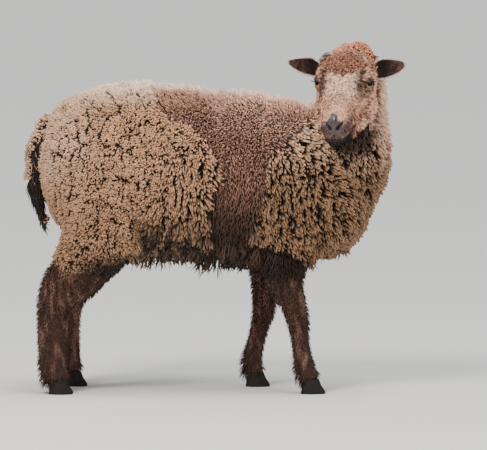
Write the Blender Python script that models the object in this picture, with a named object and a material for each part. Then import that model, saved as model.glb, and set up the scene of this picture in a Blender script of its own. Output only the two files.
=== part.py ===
"""A Soay sheep standing with its head turned to its right, as a life-size still model.

Metres, +Z up. +X points from rump to chest, and -Y is the sheep's right side. The ground is z = 0, and the
origin is on it, below the middle of the whole animal.
"""

import math

import bmesh
import bpy
import numpy as np
from mathutils import Matrix, Vector
from mathutils.bvhtree import BVHTree

# Driving dimensions
GAP = 0.0003
MIDLINE_Y = 0.038
SADDLE_STAND = 0.011

# Torso under the fleece, rump to chest: x, top z, bottom z, half width
TORSO = (
    (-0.318, 0.475, 0.385, 0.040),
    (-0.300, 0.522, 0.332, 0.086),
    (-0.265, 0.550, 0.296, 0.116),
    (-0.215, 0.569, 0.278, 0.132),
    (-0.155, 0.578, 0.268, 0.138),
    (-0.095, 0.578, 0.262, 0.136),
    (-0.035, 0.574, 0.256, 0.131),
    (0.025, 0.564, 0.255, 0.126),
    (0.085, 0.560, 0.258, 0.120),
    (0.140, 0.556, 0.262, 0.116),
    (0.190, 0.532, 0.262, 0.110),
    (0.230, 0.492, 0.268, 0.098),
    (0.262, 0.450, 0.295, 0.078),
    (0.284, 0.410, 0.340, 0.046),
)
TORSO_POWER = 2.3
BELLY_SWELL = 0.07

# Neck under the fleece, chest to poll: x, y off the midline, z, half fore and aft, half across
NECK = (
    (0.170, 0.000, 0.370, 0.088, 0.084),
    (0.212, 0.000, 0.398, 0.092, 0.086),
    (0.244, -0.004, 0.440, 0.083, 0.082),
    (0.256, -0.012, 0.488, 0.070, 0.076),
    (0.263, -0.022, 0.533, 0.057, 0.070),
    (0.270, -0.036, 0.573, 0.046, 0.063),
    (0.262, -0.058, 0.604, 0.046, 0.055),
    (0.257, -0.084, 0.622, 0.040, 0.044),
)

# Where the old fleece ends on the flank, as z and x: the rump's front edge and the shoulder's rear edge
RUMP_EDGE = (
    (0.250, -0.045),
    (0.268, -0.038),
    (0.302, -0.004),
    (0.338, -0.014),
    (0.394, -0.018),
    (0.425, 0.012),
    (0.452, -0.008),
    (0.492, -0.030),
    (0.511, -0.056),
    (0.520, -0.088),
    (0.539, -0.104),
    (0.580, -0.122),
)
SHOULDER_EDGE = (
    (0.235, 0.205),
    (0.262, 0.165),
    (0.284, 0.138),
    (0.292, 0.098),
    (0.300, 0.072),
    (0.319, 0.066),
    (0.357, 0.082),
    (0.398, 0.101),
    (0.442, 0.096),
    (0.476, 0.124),
    (0.527, 0.187),
)
EDGE_BLEND = 0.018
SADDLE_Z = 0.50

# Where the clumps of the old fleece and the locks of the belly end
FLEECE_LOWEST = 0.235
LEG_HAIR_TOP = 0.262
LEG_FACES_OUT = 0.5
FLEECE_UNDER = -0.72
FLEECE_SURE = 0.55
BELLY_REACH = (-0.17, 0.08)
BELLY_TOP = 0.30
BELLY_UNDER = -0.62
BACK_UP = 0.75

# Clumps: spacing, half width, half length along the lie of the coat, how far it stands, root depth
FLEECE_CLUMP = (0.0475, 0.0255, 0.0310, 0.015, 0.012)
BELLY_LOCK = (0.044, 0.0210, 0.0240, 0.026, 0.012)
TOPKNOT_CLUMP = (0.0190, 0.0110, 0.0120, 0.006, 0.006)
# A clump's stations: share of its stand, or below 0 of its root, shift along the lie, width and length
CLUMP_STATIONS = (
    (-1.00, -0.30, 0.80, 0.80),
    (0.30, 0.00, 1.00, 1.00),
    (0.85, 0.25, 0.66, 0.62),
    (1.00, 0.45, 0.04, 0.04),
)
CLUMP_SIDES = 6
CLUMP_VARIES = 0.18
BODY_FACES_KEPT = 0.455
HEAD_FACES_KEPT = 0.65

# The cut between neck and torso: a point on it and its normal, towards the head
NECK_PLANE = (Vector((0.205, MIDLINE_Y, 0.480)), Vector((0.815, 0.0, 0.579)))

# Legs: y off the midline, z, half fore and aft, half across, for the stations of a leg from its root down
FRONT_LEG = (
    (0.062, 0.390, 0.062, 0.034),
    (0.070, 0.330, 0.060, 0.038),
    (0.074, 0.280, 0.048, 0.036),
    (0.074, 0.243, 0.040, 0.031),
    (0.073, 0.203, 0.031, 0.026),
    (0.071, 0.165, 0.024, 0.022),
    (0.070, 0.140, 0.022, 0.021),
    (0.069, 0.118, 0.019, 0.018),
    (0.068, 0.085, 0.018, 0.017),
    (0.068, 0.055, 0.020, 0.019),
    (0.068, 0.040, 0.019, 0.019),
    (0.068, 0.026, 0.020, 0.021),
)
FRONT_ROOT_STATIONS = 4
FRONT_X = {
    "right": (0.140, 0.138, 0.133, 0.132, 0.139, 0.152, 0.158, 0.161, 0.165, 0.171, 0.176, 0.182),
    "left": (0.128, 0.122, 0.112, 0.105, 0.100, 0.096, 0.093, 0.087, 0.079, 0.072, 0.073, 0.077),
}
HIND_LEG = (
    (0.060, 0.430, 0.090, 0.052),
    (0.074, 0.370, 0.088, 0.056),
    (0.084, 0.320, 0.074, 0.050),
    (0.086, 0.285, 0.060, 0.044),
    (0.084, 0.254, 0.052, 0.037),
    (0.081, 0.226, 0.047, 0.031),
    (0.078, 0.200, 0.044, 0.027),
    (0.076, 0.180, 0.036, 0.025),
    (0.075, 0.160, 0.031, 0.023),
    (0.075, 0.135, 0.028, 0.021),
    (0.075, 0.090, 0.027, 0.021),
    (0.075, 0.055, 0.026, 0.022),
    (0.075, 0.040, 0.024, 0.021),
    (0.075, 0.026, 0.024, 0.022),
)
HIND_ROOT_STATIONS = 5
HIND_X = (
    -0.205, -0.205, -0.210, -0.224, -0.244, -0.268, -0.288,
    -0.300, -0.306, -0.309, -0.309, -0.307, -0.303, -0.297,
)
HIND_STEP = {"right": 0.0, "left": 0.0245}
LEG_SIDES = 16

# Claws: two to a foot
CLAW_TOP = 0.0257
CLAW_HALF_WIDTH = 0.0095
CLAW_APART = 0.0102
CLAW_LENGTH = 0.046
CLAW_TOE_REACH = 0.012
CLAW_SPREAD = 0.0012
CLAW_SHARES = (0.0, 0.35, 0.7, 1.0)
CLAW_SIDES = 12

# Tail: x, z, half fore and aft, half across, from root to tip
TAIL = (
    (-0.296, 0.512, 0.010, 0.018),
    (-0.324, 0.496, 0.013, 0.023),
    (-0.339, 0.460, 0.014, 0.028),
    (-0.342, 0.415, 0.014, 0.029),
    (-0.337, 0.370, 0.013, 0.026),
    (-0.329, 0.335, 0.009, 0.018),
    (-0.325, 0.318, 0.003, 0.006),
)

# Head: its frame has its origin between the eyes, +f along the face to the nose, +u out of the forehead
EYES_AT = Vector((0.245, MIDLINE_Y - 0.117, 0.594))
HEAD_TURN = math.radians(10)
HEAD_DROOP = math.radians(26.5)
# Along f: top u, bottom u, half width, how much the jaw narrows
HEAD = (
    (-0.100, 0.012, -0.024, 0.020, 0.10),
    (-0.091, 0.025, -0.044, 0.036, 0.12),
    (-0.074, 0.034, -0.060, 0.046, 0.18),
    (-0.052, 0.039, -0.074, 0.051, 0.25),
    (-0.028, 0.041, -0.082, 0.054, 0.35),
    (0.000, 0.038, -0.080, 0.054, 0.42),
    (0.030, 0.030, -0.073, 0.0445, 0.45),
    (0.060, 0.023, -0.066, 0.0355, 0.42),
    (0.088, 0.017, -0.063, 0.0305, 0.34),
    (0.110, 0.012, -0.064, 0.0290, 0.26),
    (0.127, 0.006, -0.062, 0.0245, 0.20),
    (0.137, -0.003, -0.055, 0.0190, 0.15),
    (0.1415, -0.016, -0.040, 0.0110, 0.10),
)
HEAD_POWER = 2.35
HEAD_SIDES = 28
EYE_RADIUS = 0.0135
EYE_ACROSS = 0.0415
EYE_LID = 0.0030
EYE_OPENING = (0.0152, 0.0056)
EYE_LOOK = math.radians(37)
EYE_TILT = math.radians(17)
# The hump of wool at the back of the poll: its middle in the head frame and its radii
HUMP_AT = (-0.070, 0.016, 0.017)
HUMP = (0.026, 0.025, 0.022)

# Mouth: the line of the lips in the head frame, from the front round to each corner
MOUTH_FRONT_U = -0.0400
MOUTH_CORNER = (0.088, -0.0365)
MOUTH_BEND_F = 0.112
MOUTH_TURN = 0.7
MOUTH_STEPS = 6
MOUTH_HALF_GAP = 0.0012
LIP_RADIUS = 0.0030
LIP_OFFSET = 0.0032
# Nostrils: the slit's middle in the head frame as l, u, its half length, half width and depth, and its slant
NOSTRIL_AT = (0.0105, -0.0105)
NOSTRIL_HALF = (0.0088, 0.0021, 0.0060)
NOSTRIL_SLANT = math.radians(50)

# Ears: along the ear from root to tip: half width, cup depth, thickness
EAR = (
    (0.000, 0.0100, 0.0090, 0.0180),
    (0.009, 0.0120, 0.0100, 0.0200),
    (0.018, 0.0140, 0.0115, 0.0190),
    (0.028, 0.0185, 0.0125, 0.0085),
    (0.037, 0.0192, 0.0115, 0.0050),
    (0.050, 0.0165, 0.0085, 0.0038),
    (0.063, 0.0118, 0.0050, 0.0030),
    (0.074, 0.0052, 0.0024, 0.0020),
    (0.0785, 0.0014, 0.0010, 0.0012),
)
# The right ear, which is -1, seems longer in the picture than the left, and both are wider low down
EAR_LONGER = {-1: 1.05, 1: 0.94}
EAR_WIDER = {-1: 0.18, 1: 0.28}
EAR_ROOT = (-0.056, 0.034, 0.004)
EAR_ROOM = 0.0004
EAR_SUNK = 4
WOOL_FROM_EAR = 0.002
WOOL_FROM_HEAD = 0.0006

SCATTER_TRIES = 9000
# Topknot: how far its curls keep from the ears and the horn stubs, and where they end
CLEAR_OF_EAR = 0.017
CLEAR_OF_HORN = 0.013
TOPKNOT_REAR = -0.088
TOPKNOT_FRONT = -0.014
TOPKNOT_UP = 0.45

# Horn stubs, low on the poll: f, l to its own side, u, radius, from the sunk root to the tip
HORN = {
    -1: (
        (-0.046, 0.018, 0.020, 0.0055),
        (-0.046, 0.024, 0.031, 0.0055),
        (-0.046, 0.033, 0.035, 0.0060),
        (-0.044, 0.042, 0.0325, 0.0052),
        (-0.042, 0.0495, 0.026, 0.0030),
    ),
    1: (
        (-0.047, 0.010, 0.026, 0.0036),
        (-0.046, 0.014, 0.0375, 0.0036),
        (-0.041, 0.026, 0.0365, 0.0042),
        (-0.036, 0.036, 0.0295, 0.0046),
        (-0.030, 0.045, 0.0185, 0.0032),
    ),
}
HORN_SIDES = 10

COLOURS = {
    "fleece": (0.36, 0.24, 0.15),
    "dark_coat": (0.10, 0.055, 0.038),
    "face": (0.24, 0.15, 0.10),
    "ear": (0.13, 0.08, 0.06),
    "horn": (0.20, 0.18, 0.18),
    "hoof": (0.03, 0.025, 0.022),
    "eye": (0.30, 0.17, 0.04),
}


def clear_scene():
    for thing in list(bpy.data.objects):
        bpy.data.objects.remove(thing)


def coat_material(name):
    material = bpy.data.materials.get(name)
    if material is None:
        material = bpy.data.materials.new(name)
        material.use_nodes = True
        shader = material.node_tree.nodes["Principled BSDF"]
        shader.inputs["Base Color"].default_value = (*COLOURS[name], 1.0)
        shader.inputs["Roughness"].default_value = 0.25 if name == "eye" else 0.85
        shader.inputs["Metallic"].default_value = 0.0
    return material


def add_object(name, bm, material):
    mesh = bpy.data.meshes.new(name)
    bmesh.ops.recalc_face_normals(bm, faces=bm.faces)
    bm.to_mesh(mesh)
    bm.free()
    mesh.shade_smooth()
    thing = bpy.data.objects.new(name, mesh)
    thing.data.materials.append(coat_material(material))
    bpy.context.scene.collection.objects.link(thing)
    return thing


def smooth_rows(rows, per_span):
    """The rows of a table and those between them on a Catmull-Rom curve, per_span to each span."""
    rows = np.array(rows, float)
    ends = np.vstack([2 * rows[0] - rows[1], rows, 2 * rows[-1] - rows[-2]])
    found = []
    for before, start, end, after in zip(ends, ends[1:], ends[2:], ends[3:]):
        for t in np.arange(per_span) / per_span:
            bend = 2 * before - 5 * start + 4 * end - after
            twist = 3 * start - before - 3 * end + after
            found.append(start + 0.5 * t * (end - before + t * (bend + t * twist)))
    found.append(rows[-1])
    return np.array(found)


def rounded(power, swell=0.0):
    """A ring's outline: a superellipse, and with swell it is wider low down."""

    def outline(a, b):
        wide = math.copysign(abs(a) ** (2 / power), a)
        high = math.copysign(abs(b) ** (2 / power), b)
        return wide * (1 - swell * high), high

    return outline


def loft(name, rings, sides, material):
    """A closed tube through rings, each a centre, the vectors to its side and to its top, and an outline."""
    bm = bmesh.new()
    loops = []
    for centre, side, top, outline in rings:
        made = bmesh.ops.create_circle(bm, cap_ends=False, segments=sides, radius=1.0)
        for vert in made["verts"]:
            wide, high = outline(vert.co.x, vert.co.y)
            vert.co = Vector(centre) + Vector(side) * wide + Vector(top) * high
        loops.append(list(dict.fromkeys(edge for vert in made["verts"] for edge in vert.link_edges)))
    for first, second in zip(loops, loops[1:]):
        bmesh.ops.bridge_loops(bm, edges=first + second)
    for end in (loops[0], loops[-1]):
        bmesh.ops.contextual_create(bm, geom=end)
    bmesh.ops.triangulate(bm, faces=bm.faces, quad_method="FIXED")
    return add_object(name, bm, material)


def tube_rings(rows, outline=None, grow=0.0):
    """Rings square to the line through rows of x, y, z, half fore and aft, half across."""
    outline = outline or rounded(2.0)
    points = [Vector(row[:3]) for row in rows]
    rings = []
    side = Vector((0, 1, 0))
    for i, row in enumerate(rows):
        along = (points[min(i + 1, len(points) - 1)] - points[max(i - 1, 0)]).normalized()
        side = (side - along * side.dot(along)).normalized()
        fore = side.cross(along)
        rings.append((points[i], side * (row[4] + grow), fore * (row[3] + grow), outline))
    return rings


def rounded_ends(rings, steps, reach):
    """The rings with a few shrinking ones beyond each end, so that the tube ends in a dome."""
    out = []
    for end, following in ((0, 1), (-1, -2)):
        centre, side, top, outline = rings[end]
        away = (Vector(centre) - Vector(rings[following][0])).normalized() * reach
        dome = []
        for step in range(1, steps + 1):
            angle = math.pi / 2 * step / (steps + 0.5)
            ring = (
                Vector(centre) + away * math.sin(angle),
                Vector(side) * math.cos(angle),
                Vector(top) * math.cos(angle),
                outline,
            )
            dome.append(ring)
        out.append(dome)
    return out[0][::-1] + list(rings) + out[1]


def deeper(rings):
    """The rings with the first moved back by the gap, as the bottom of a socket."""
    centre, side, top, outline = rings[0]
    back = (centre - rings[1][0]).normalized()
    return [(centre + back * GAP, side, top, outline), *rings[1:]]


def largest_surface(thing):
    """Leaves only the closed surface that holds the most."""
    bm = bmesh.new()
    bm.from_mesh(thing.data)
    left = set(bm.verts)
    islands = []
    while left:
        island, edge_of = set(), [left.pop()]
        while edge_of:
            vert = edge_of.pop()
            island.add(vert)
            for edge in vert.link_edges:
                other = edge.other_vert(vert)
                if other in left:
                    left.discard(other)
                    edge_of.append(other)
        islands.append(island)

    def size(island):
        corners = np.array([vert.co for vert in island])
        return float(np.prod(corners.max(0) - corners.min(0)))

    islands.sort(key=size)
    for island in islands[:-1]:
        bmesh.ops.delete(bm, geom=list(island), context="VERTS")
    bm.to_mesh(thing.data)
    bm.free()


def combine(thing, operation, others, solver="EXACT"):
    """Joins the others to a thing, or cuts them from it, and removes them."""
    group = bpy.data.collections.new(operation)
    bpy.context.scene.collection.children.link(group)
    for other in others:
        bpy.context.scene.collection.objects.unlink(other)
        group.objects.link(other)
    boolean = thing.modifiers.new(operation, "BOOLEAN")
    boolean.operation = operation
    boolean.operand_type = "COLLECTION"
    boolean.collection = group
    boolean.solver = solver
    graph = bpy.context.evaluated_depsgraph_get()
    mesh = bpy.data.meshes.new_from_object(thing.evaluated_get(graph))
    thing.modifiers.clear()
    thing.data = mesh
    for other in others:
        bpy.data.objects.remove(other)
    bpy.data.collections.remove(group)
    largest_surface(thing)
    return thing


def smooth_step(value):
    share = min(max(value, 0.0), 1.0)
    return share * share * (3 - 2 * share)


def old_fleece(x, z):
    """How much a place on the flank lies under the old fleece, from 0 on the saddle to 1."""
    heights, edges = zip(*RUMP_EDGE)
    rump = (np.interp(z, heights, edges) - x) / EDGE_BLEND
    heights, edges = zip(*SHOULDER_EDGE)
    shoulder = (x - np.interp(z, heights, edges)) / EDGE_BLEND
    return smooth_step(max(rump, shoulder) * 0.5 + 0.5)


def clump(place, normal, lie, sizes):
    """A rounded tuft rooted under a surface, which leans over along the lie of the coat."""
    half, reach, stand, root = sizes
    normal = Vector(normal).normalized()
    lie = (lie - normal * lie.dot(normal)).normalized()
    side = normal.cross(lie)
    rings = []
    for share, along, wide, deep in CLUMP_STATIONS:
        height = share * (root if share < 0 else stand)
        centre = place + normal * height + lie * reach * along
        rings.append((centre, side * half * wide, lie * reach * deep, rounded(2.0)))
    return loft("clump", rings, CLUMP_SIDES, "fleece")


def sorted_triangles(mesh):
    """The triangles' corners, normals and areas, in an order that only their places decide."""
    mesh.calc_loop_triangles()
    found = []
    for face in mesh.loop_triangles:
        corners = sorted(tuple(round(value, 6) for value in mesh.vertices[i].co) for i in face.vertices)
        found.append((corners, tuple(face.normal), face.area))
    found.sort()
    corners, normals, areas = zip(*found)
    return np.array(corners), [Vector(normal) for normal in normals], np.array(areas)


def scattered(thing, spacing, wanted, seed):
    """Points with their normals, spread evenly over the part of a surface that is wanted."""
    draw = np.random.default_rng(seed)
    corners, normals, areas = sorted_triangles(thing.data)
    faces = draw.choice(len(areas), size=SCATTER_TRIES, p=areas / areas.sum())
    shares = draw.random((SCATTER_TRIES, 2))
    kept, found = np.zeros((0, 3)), []
    for face, (a, b) in zip(faces, shares):
        a, b = (1 - a, 1 - b) if a + b > 1 else (a, b)
        first, second, third = corners[face]
        point = first + a * (second - first) + b * (third - first)
        if len(kept) and ((kept - point) ** 2).sum(1).min() < spacing**2:
            continue
        if wanted(Vector(point), normals[face]):
            kept = np.vstack([kept, point])
            found.append((Vector(point), normals[face]))
    return found


def varied(sizes, draw):
    return [size * (1 + CLUMP_VARIES * draw.uniform(-1, 1)) for size in sizes[:-1]] + [sizes[-1]]


def grown_copy(thing, grow):
    """A copy of a thing whose surface stands this far off the thing's own."""
    copy = thing.copy()
    copy.data = thing.data.copy()
    bpy.context.scene.collection.objects.link(copy)
    moved = [vert.co + vert.normal * grow for vert in thing.data.vertices]
    for vert, place in zip(copy.data.vertices, moved):
        vert.co = place
    return copy


def thin_faces(thing, share):
    """Leaves this share of the faces, the ones that hold the form."""
    fewer = thing.modifiers.new("fewer", "DECIMATE")
    fewer.ratio = share
    fewer.use_collapse_triangulate = True
    graph = bpy.context.evaluated_depsgraph_get()
    mesh = bpy.data.meshes.new_from_object(thing.evaluated_get(graph))
    thing.modifiers.clear()
    thing.data = mesh


def half_space(name, point, normal):
    """A block that fills the side of a plane its normal points to."""
    reach = 1.2
    bm = bmesh.new()
    bmesh.ops.create_cube(bm, size=reach)
    turn = Vector(normal).to_track_quat("Z", "Y").to_matrix().to_4x4()
    place = Matrix.Translation(Vector(point) + Vector(normal).normalized() * reach / 2) @ turn
    bmesh.ops.transform(bm, matrix=place, verts=bm.verts)
    return add_object(name, bm, "fleece")


def head_frame():
    """The head's axes as a matrix: x along the face, y to the sheep's left, z out of the forehead."""
    level = Vector((-math.sin(HEAD_TURN), -math.cos(HEAD_TURN), 0))
    up = Vector((0, 0, 1))
    face = level * math.cos(HEAD_DROOP) - up * math.sin(HEAD_DROOP)
    crown = level * math.sin(HEAD_DROOP) + up * math.cos(HEAD_DROOP)
    left = crown.cross(face)
    turn = Matrix((face, left, crown)).transposed().to_4x4()
    return Matrix.Translation(EYES_AT) @ turn


def torso_rings(grow=0.0):
    rows = []
    for i, row in enumerate(smooth_rows(TORSO, 2)):
        if i % 2 == 0 or old_fleece(row[0], SADDLE_Z) < 0.5:
            rows.append(row)
    outline = rounded(TORSO_POWER, BELLY_SWELL)
    rings = []
    for x, top, bottom, half in rows:
        centre = Vector((x, MIDLINE_Y, (top + bottom) / 2))
        side = Vector((0, half + grow, 0))
        rise = Vector((0, 0, (top - bottom) / 2 + grow))
        rings.append((centre, side, rise, outline))
    return rounded_ends(rings, 2, grow + 0.008)


def neck_rings():
    rows = np.array(NECK)
    rows[:, 1] += MIDLINE_Y
    return tube_rings(rows)


def leg_rows(stations, xs, side):
    way = -1 if side == "right" else 1
    return [(x, MIDLINE_Y + way * y, z, fore, across) for x, (y, z, fore, across) in zip(xs, stations)]


def leg_places():
    """Each leg's name, its rows and the number of them that belong to the torso."""
    for side in ("right", "left"):
        yield f"front_{side}", leg_rows(FRONT_LEG, FRONT_X[side], side), FRONT_ROOT_STATIONS
        xs = [x + HIND_STEP[side] for x in HIND_X]
        yield f"hind_{side}", leg_rows(HIND_LEG, xs, side), HIND_ROOT_STATIONS


def leg_rings(rows, grow=0.0):
    return tube_rings(smooth_rows(rows, 2), grow=grow)


def leg_root(name, rows, count):
    return loft(name + "_root", leg_rings(rows)[: 2 * count - 1 : 2], LEG_SIDES, "fleece")


def leg_below(rows, count, grow=0.0, start=GAP):
    """The rings of a leg under its root, the first moved down by start and the last laid level."""
    rings = leg_rings(rows, grow)[2 * count - 2 :]
    centre, side, top, outline = rings[0]
    along = (rings[1][0] - centre).normalized()
    rings[0] = (centre + along * start, side, top, outline)
    centre, side, top, outline = rings[-1]
    level = Vector((math.copysign(top.length, top.x), 0, 0))
    rings[-1] = (centre, Vector((0, side.length, 0)), level, outline)
    return rings


def claw(name, x, y, away):
    """One claw: a toe with a flat sole, longer in front than the foot above it."""
    rings = []
    for share in CLAW_SHARES:
        height = CLAW_TOP * (1 - share)
        reach = CLAW_TOE_REACH * share
        half = (CLAW_LENGTH * (0.80 + 0.20 * share) / 2, CLAW_HALF_WIDTH * (0.86 + 0.14 * share))
        centre = Vector((x + reach * 0.5, y + away * (CLAW_APART + CLAW_SPREAD * share), height))
        rings.append((centre, Vector((half[0], 0, 0)), Vector((0, half[1], 0)), toe_outline))
    return loft(name, rings, CLAW_SIDES, "hoof")


def toe_outline(a, b):
    """Pointed towards the toe, round at the heel."""
    narrow = 1 - 0.45 * max(a, 0) ** 1.5
    return a, b * narrow


def tail_rings(grow=0.0):
    rows = [(x, MIDLINE_Y, z, fore, across) for x, z, fore, across in TAIL]
    return tube_rings(smooth_rows(rows, 2), grow=grow)


def head_rings():
    place = head_frame()
    turn = place.to_3x3()
    rings = []
    for f, top, bottom, half, jaw in smooth_rows(HEAD, 2):
        def outline(a, b, jaw=jaw):
            wide, high = rounded(HEAD_POWER)(a, b)
            low = max(0.0, 0.25 - high) / 1.25
            return wide * (1 - jaw * low**1.3), high

        centre = place @ Vector((f, 0, (top + bottom) / 2))
        side = turn @ Vector((0, half, 0))
        rise = turn @ Vector((0, 0, (top - bottom) / 2))
        rings.append((centre, side, rise, outline))
    return rings


def ball(name, centre, radius, material, turn=None, segments=16):
    """A ball, or with three radii an ellipsoid along the axes of turn."""
    bm = bmesh.new()
    bmesh.ops.create_uvsphere(bm, u_segments=segments, v_segments=segments // 2, radius=1.0)
    radii = (radius,) * 3 if isinstance(radius, float) else radius
    place = Matrix.Translation(centre) @ (turn or Matrix.Identity(4)) @ Matrix.Diagonal((*radii, 1))
    bmesh.ops.transform(bm, matrix=place, verts=bm.verts)
    return add_object(name, bm, material)


def eye_place(way):
    """The eye's centre and its axes: x along the lids, y out of the pupil, z up the lid."""
    place = head_frame()
    centre = place @ Vector((0.0, way * EYE_ACROSS, 0.0))
    out = place.to_3x3() @ Vector((math.sin(EYE_LOOK), way * math.cos(EYE_LOOK), 0.12))
    up = place.to_3x3() @ Vector((0, 0, 1))
    out.normalize()
    along = out.cross(up).normalized()
    turn = Matrix((along, out, along.cross(out))).transposed().to_4x4()
    return centre, turn @ Matrix.Rotation(-way * EYE_TILT, 4, "Y")


def ear_rings(way, grow=0.0):
    """An ear's rings, each a crescent. With grow they are whole lenses, which clear the ear all round."""
    place = head_frame()
    turn = place.to_3x3()
    root = place @ Vector((EAR_ROOT[0], way * EAR_ROOT[1], EAR_ROOT[2]))
    along = (turn @ Vector((-0.12, way, 0.03))).normalized()
    wide = turn @ Vector((0.0, 0.0, 1.0))
    wide = (wide - along * wide.dot(along)).normalized()
    back = wide.cross(along).normalized() * way
    rings = []
    for reach, half, cup, thick in EAR:
        def outline(a, b, cup=cup, thick=thick):
            if b > 0:
                return a, (cup + grow) * b
            front = cup - thick if grow == 0 else min(cup - thick, 0) - grow
            return a, front * -b

        more = half * EAR_WIDER[way]
        centre = root + along * reach * EAR_LONGER[way] - back * cup * 0.6 - wide * more
        rings.append((centre, wide * (half + more + grow), back, outline))
    return rings


def horn_rings(way, grow=0.0):
    place = head_frame()
    rows = [(*(place @ Vector((f, way * l, u))), half, half) for f, l, u, half in HORN[way]]
    return rounded_ends(tube_rings(smooth_rows(rows, 2), grow=grow), 1, 0.001 + grow)


def on_surface(tree, point, way):
    """Where a line from a point inside the head meets its surface."""
    place = head_frame()
    found = tree.ray_cast(place @ Vector(point), place.to_3x3() @ Vector(way))
    return found[0]


def surface_tree(thing):
    mesh = thing.data
    faces = [face.vertices for face in mesh.polygons]
    return BVHTree.FromPolygons([vert.co for vert in mesh.vertices], faces)


def mouth_line(head, raised=0.0):
    """Points on the head's surface along the line of the lips, or raised a little above it."""
    tree = surface_tree(head)
    points = []
    for step in range(-MOUTH_STEPS, MOUTH_STEPS + 1):
        share = step / MOUTH_STEPS
        low = MOUTH_FRONT_U + (MOUTH_CORNER[1] - MOUTH_FRONT_U) * share**2 + raised
        angle = math.radians(90) * min(abs(share) / MOUTH_TURN, 1.0)
        back = max(abs(share) - MOUTH_TURN, 0.0) / (1 - MOUTH_TURN)
        start = MOUTH_BEND_F + (MOUTH_CORNER[0] - MOUTH_BEND_F) * back
        way = (math.cos(angle), math.copysign(math.sin(angle), share), 0.0)
        points.append(on_surface(tree, (start, 0.0, low), way))
    return points


def strand(name, points, radii, sides, material):
    """A tube of few sides through points, with a radius at each."""
    rows = [(*point, radius, radius) for point, radius in zip(points, radii)]
    return loft(name, tube_rings(rows), sides, material)


def shape_head(head, curls):
    """Adds lips and topknot, cuts mouth and nostrils, and returns the room that the neck must leave."""
    shares = [abs(step) / MOUTH_STEPS for step in range(-MOUTH_STEPS, MOUTH_STEPS + 1)]
    lips = []
    for raised in (LIP_OFFSET, -LIP_OFFSET):
        radii = [LIP_RADIUS * (1.0 - 0.7 * share**2) for share in shares]
        lips.append(strand("lip", mouth_line(head, raised), radii, 6, "face"))
    combine(head, "UNION", [*lips, hump(), *[clump(*curl) for curl in curls]])
    thin_faces(head, HEAD_FACES_KEPT)
    room = grown_copy(head, WOOL_FROM_HEAD)
    radii = [MOUTH_HALF_GAP * (1.3 - 0.4 * share) for share in shares]
    cutters = [strand("mouth", mouth_line(head), radii, 5, "face")]
    tree = surface_tree(head)
    turn = head_frame().to_3x3().to_4x4()
    for way in (-1, 1):
        centre = on_surface(tree, (0.100, way * NOSTRIL_AT[0], NOSTRIL_AT[1]), (1, 0, 0))
        slant = Matrix.Rotation(way * NOSTRIL_SLANT, 4, "X")
        long_half, wide_half, deep = NOSTRIL_HALF
        cutters.append(ball("nostril", centre, (deep, long_half, wide_half), "face", turn @ slant, 10))
    combine(head, "DIFFERENCE", cutters)
    return room


def hump():
    place = head_frame()
    return ball("hump", place @ Vector(HUMP_AT), HUMP, "face", place.to_3x3().to_4x4())


def topknot_places():
    """The place, normal, lie and sizes of each curl of the poll and forehead, clear of ears and horns."""
    place = head_frame()
    inverse = place.inverted()
    draw = np.random.default_rng(13)
    keep_off = []
    for way in (-1, 1):
        keep_off.append((place @ Vector((EAR_ROOT[0], way * EAR_ROOT[1], EAR_ROOT[2])), CLEAR_OF_EAR))
        keep_off += [(place @ Vector((f, way * l, u)), CLEAR_OF_HORN) for f, l, u, half in HORN[way]]
    plain = loft("plain", head_rings(), HEAD_SIDES, "face")
    combine(plain, "UNION", [hump()])

    def wanted(point, normal):
        at = inverse @ point
        up = (inverse.to_3x3() @ normal).z
        if any((point - spot).length < room for spot, room in keep_off):
            return False
        return TOPKNOT_REAR < at.x < TOPKNOT_FRONT - 4 * at.y**2 and up > TOPKNOT_UP

    curls = []
    for point, normal in scattered(plain, TOPKNOT_CLUMP[0], wanted, 9):
        at = inverse @ point
        lie = place.to_3x3() @ Vector((1.0, at.y * 12, 0.0))
        turn = Matrix.Rotation(draw.uniform(-0.5, 0.5), 3, normal)
        curls.append((point, normal, turn @ lie, varied(TOPKNOT_CLUMP[1:], draw)))
    bpy.data.objects.remove(plain)
    return curls


def build_head(curls):
    head = loft("head", head_rings(), HEAD_SIDES, "face")
    room = shape_head(head, curls)
    for way in (-1, 1):
        centre, turn = eye_place(way)
        combine(head, "UNION", [ball("lid", centre, EYE_RADIUS + EYE_LID, "face", turn)])
        long_half, high_half = EYE_OPENING
        opening = (long_half, EYE_RADIUS, high_half)
        front = centre + turn.to_3x3() @ Vector((0, EYE_RADIUS * 0.95, 0))
        cutters = [
            ball("socket", centre, EYE_RADIUS + GAP, "face", turn),
            ball("opening", front, opening, "face", turn, 12),
            loft("ear_socket", deeper(ear_rings(way, EAR_ROOM))[:EAR_SUNK], 16, "ear"),
            loft("horn_socket", horn_rings(way, GAP), HORN_SIDES, "horn"),
        ]
        combine(head, "DIFFERENCE", cutters)
        ball("eye_" + ("right" if way < 0 else "left"), centre, EYE_RADIUS, "eye", turn)
        loft("ear_" + ("right" if way < 0 else "left"), ear_rings(way), 16, "ear")
        loft("horn_" + ("right" if way < 0 else "left"), horn_rings(way), HORN_SIDES, "horn")
    return room


def clear_of_head(neck, room):
    """Cuts room in the neck for the head, its lids and the roots of the ears."""
    cutters = [room]
    for way in (-1, 1):
        centre, turn = eye_place(way)
        cutters.append(ball("lid_room", centre, EYE_RADIUS + EYE_LID + WOOL_FROM_HEAD, "face", turn))
        cutters.append(loft("ear_room", deeper(ear_rings(way, WOOL_FROM_EAR)), 16, "ear"))
    combine(neck, "DIFFERENCE", cutters)


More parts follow.
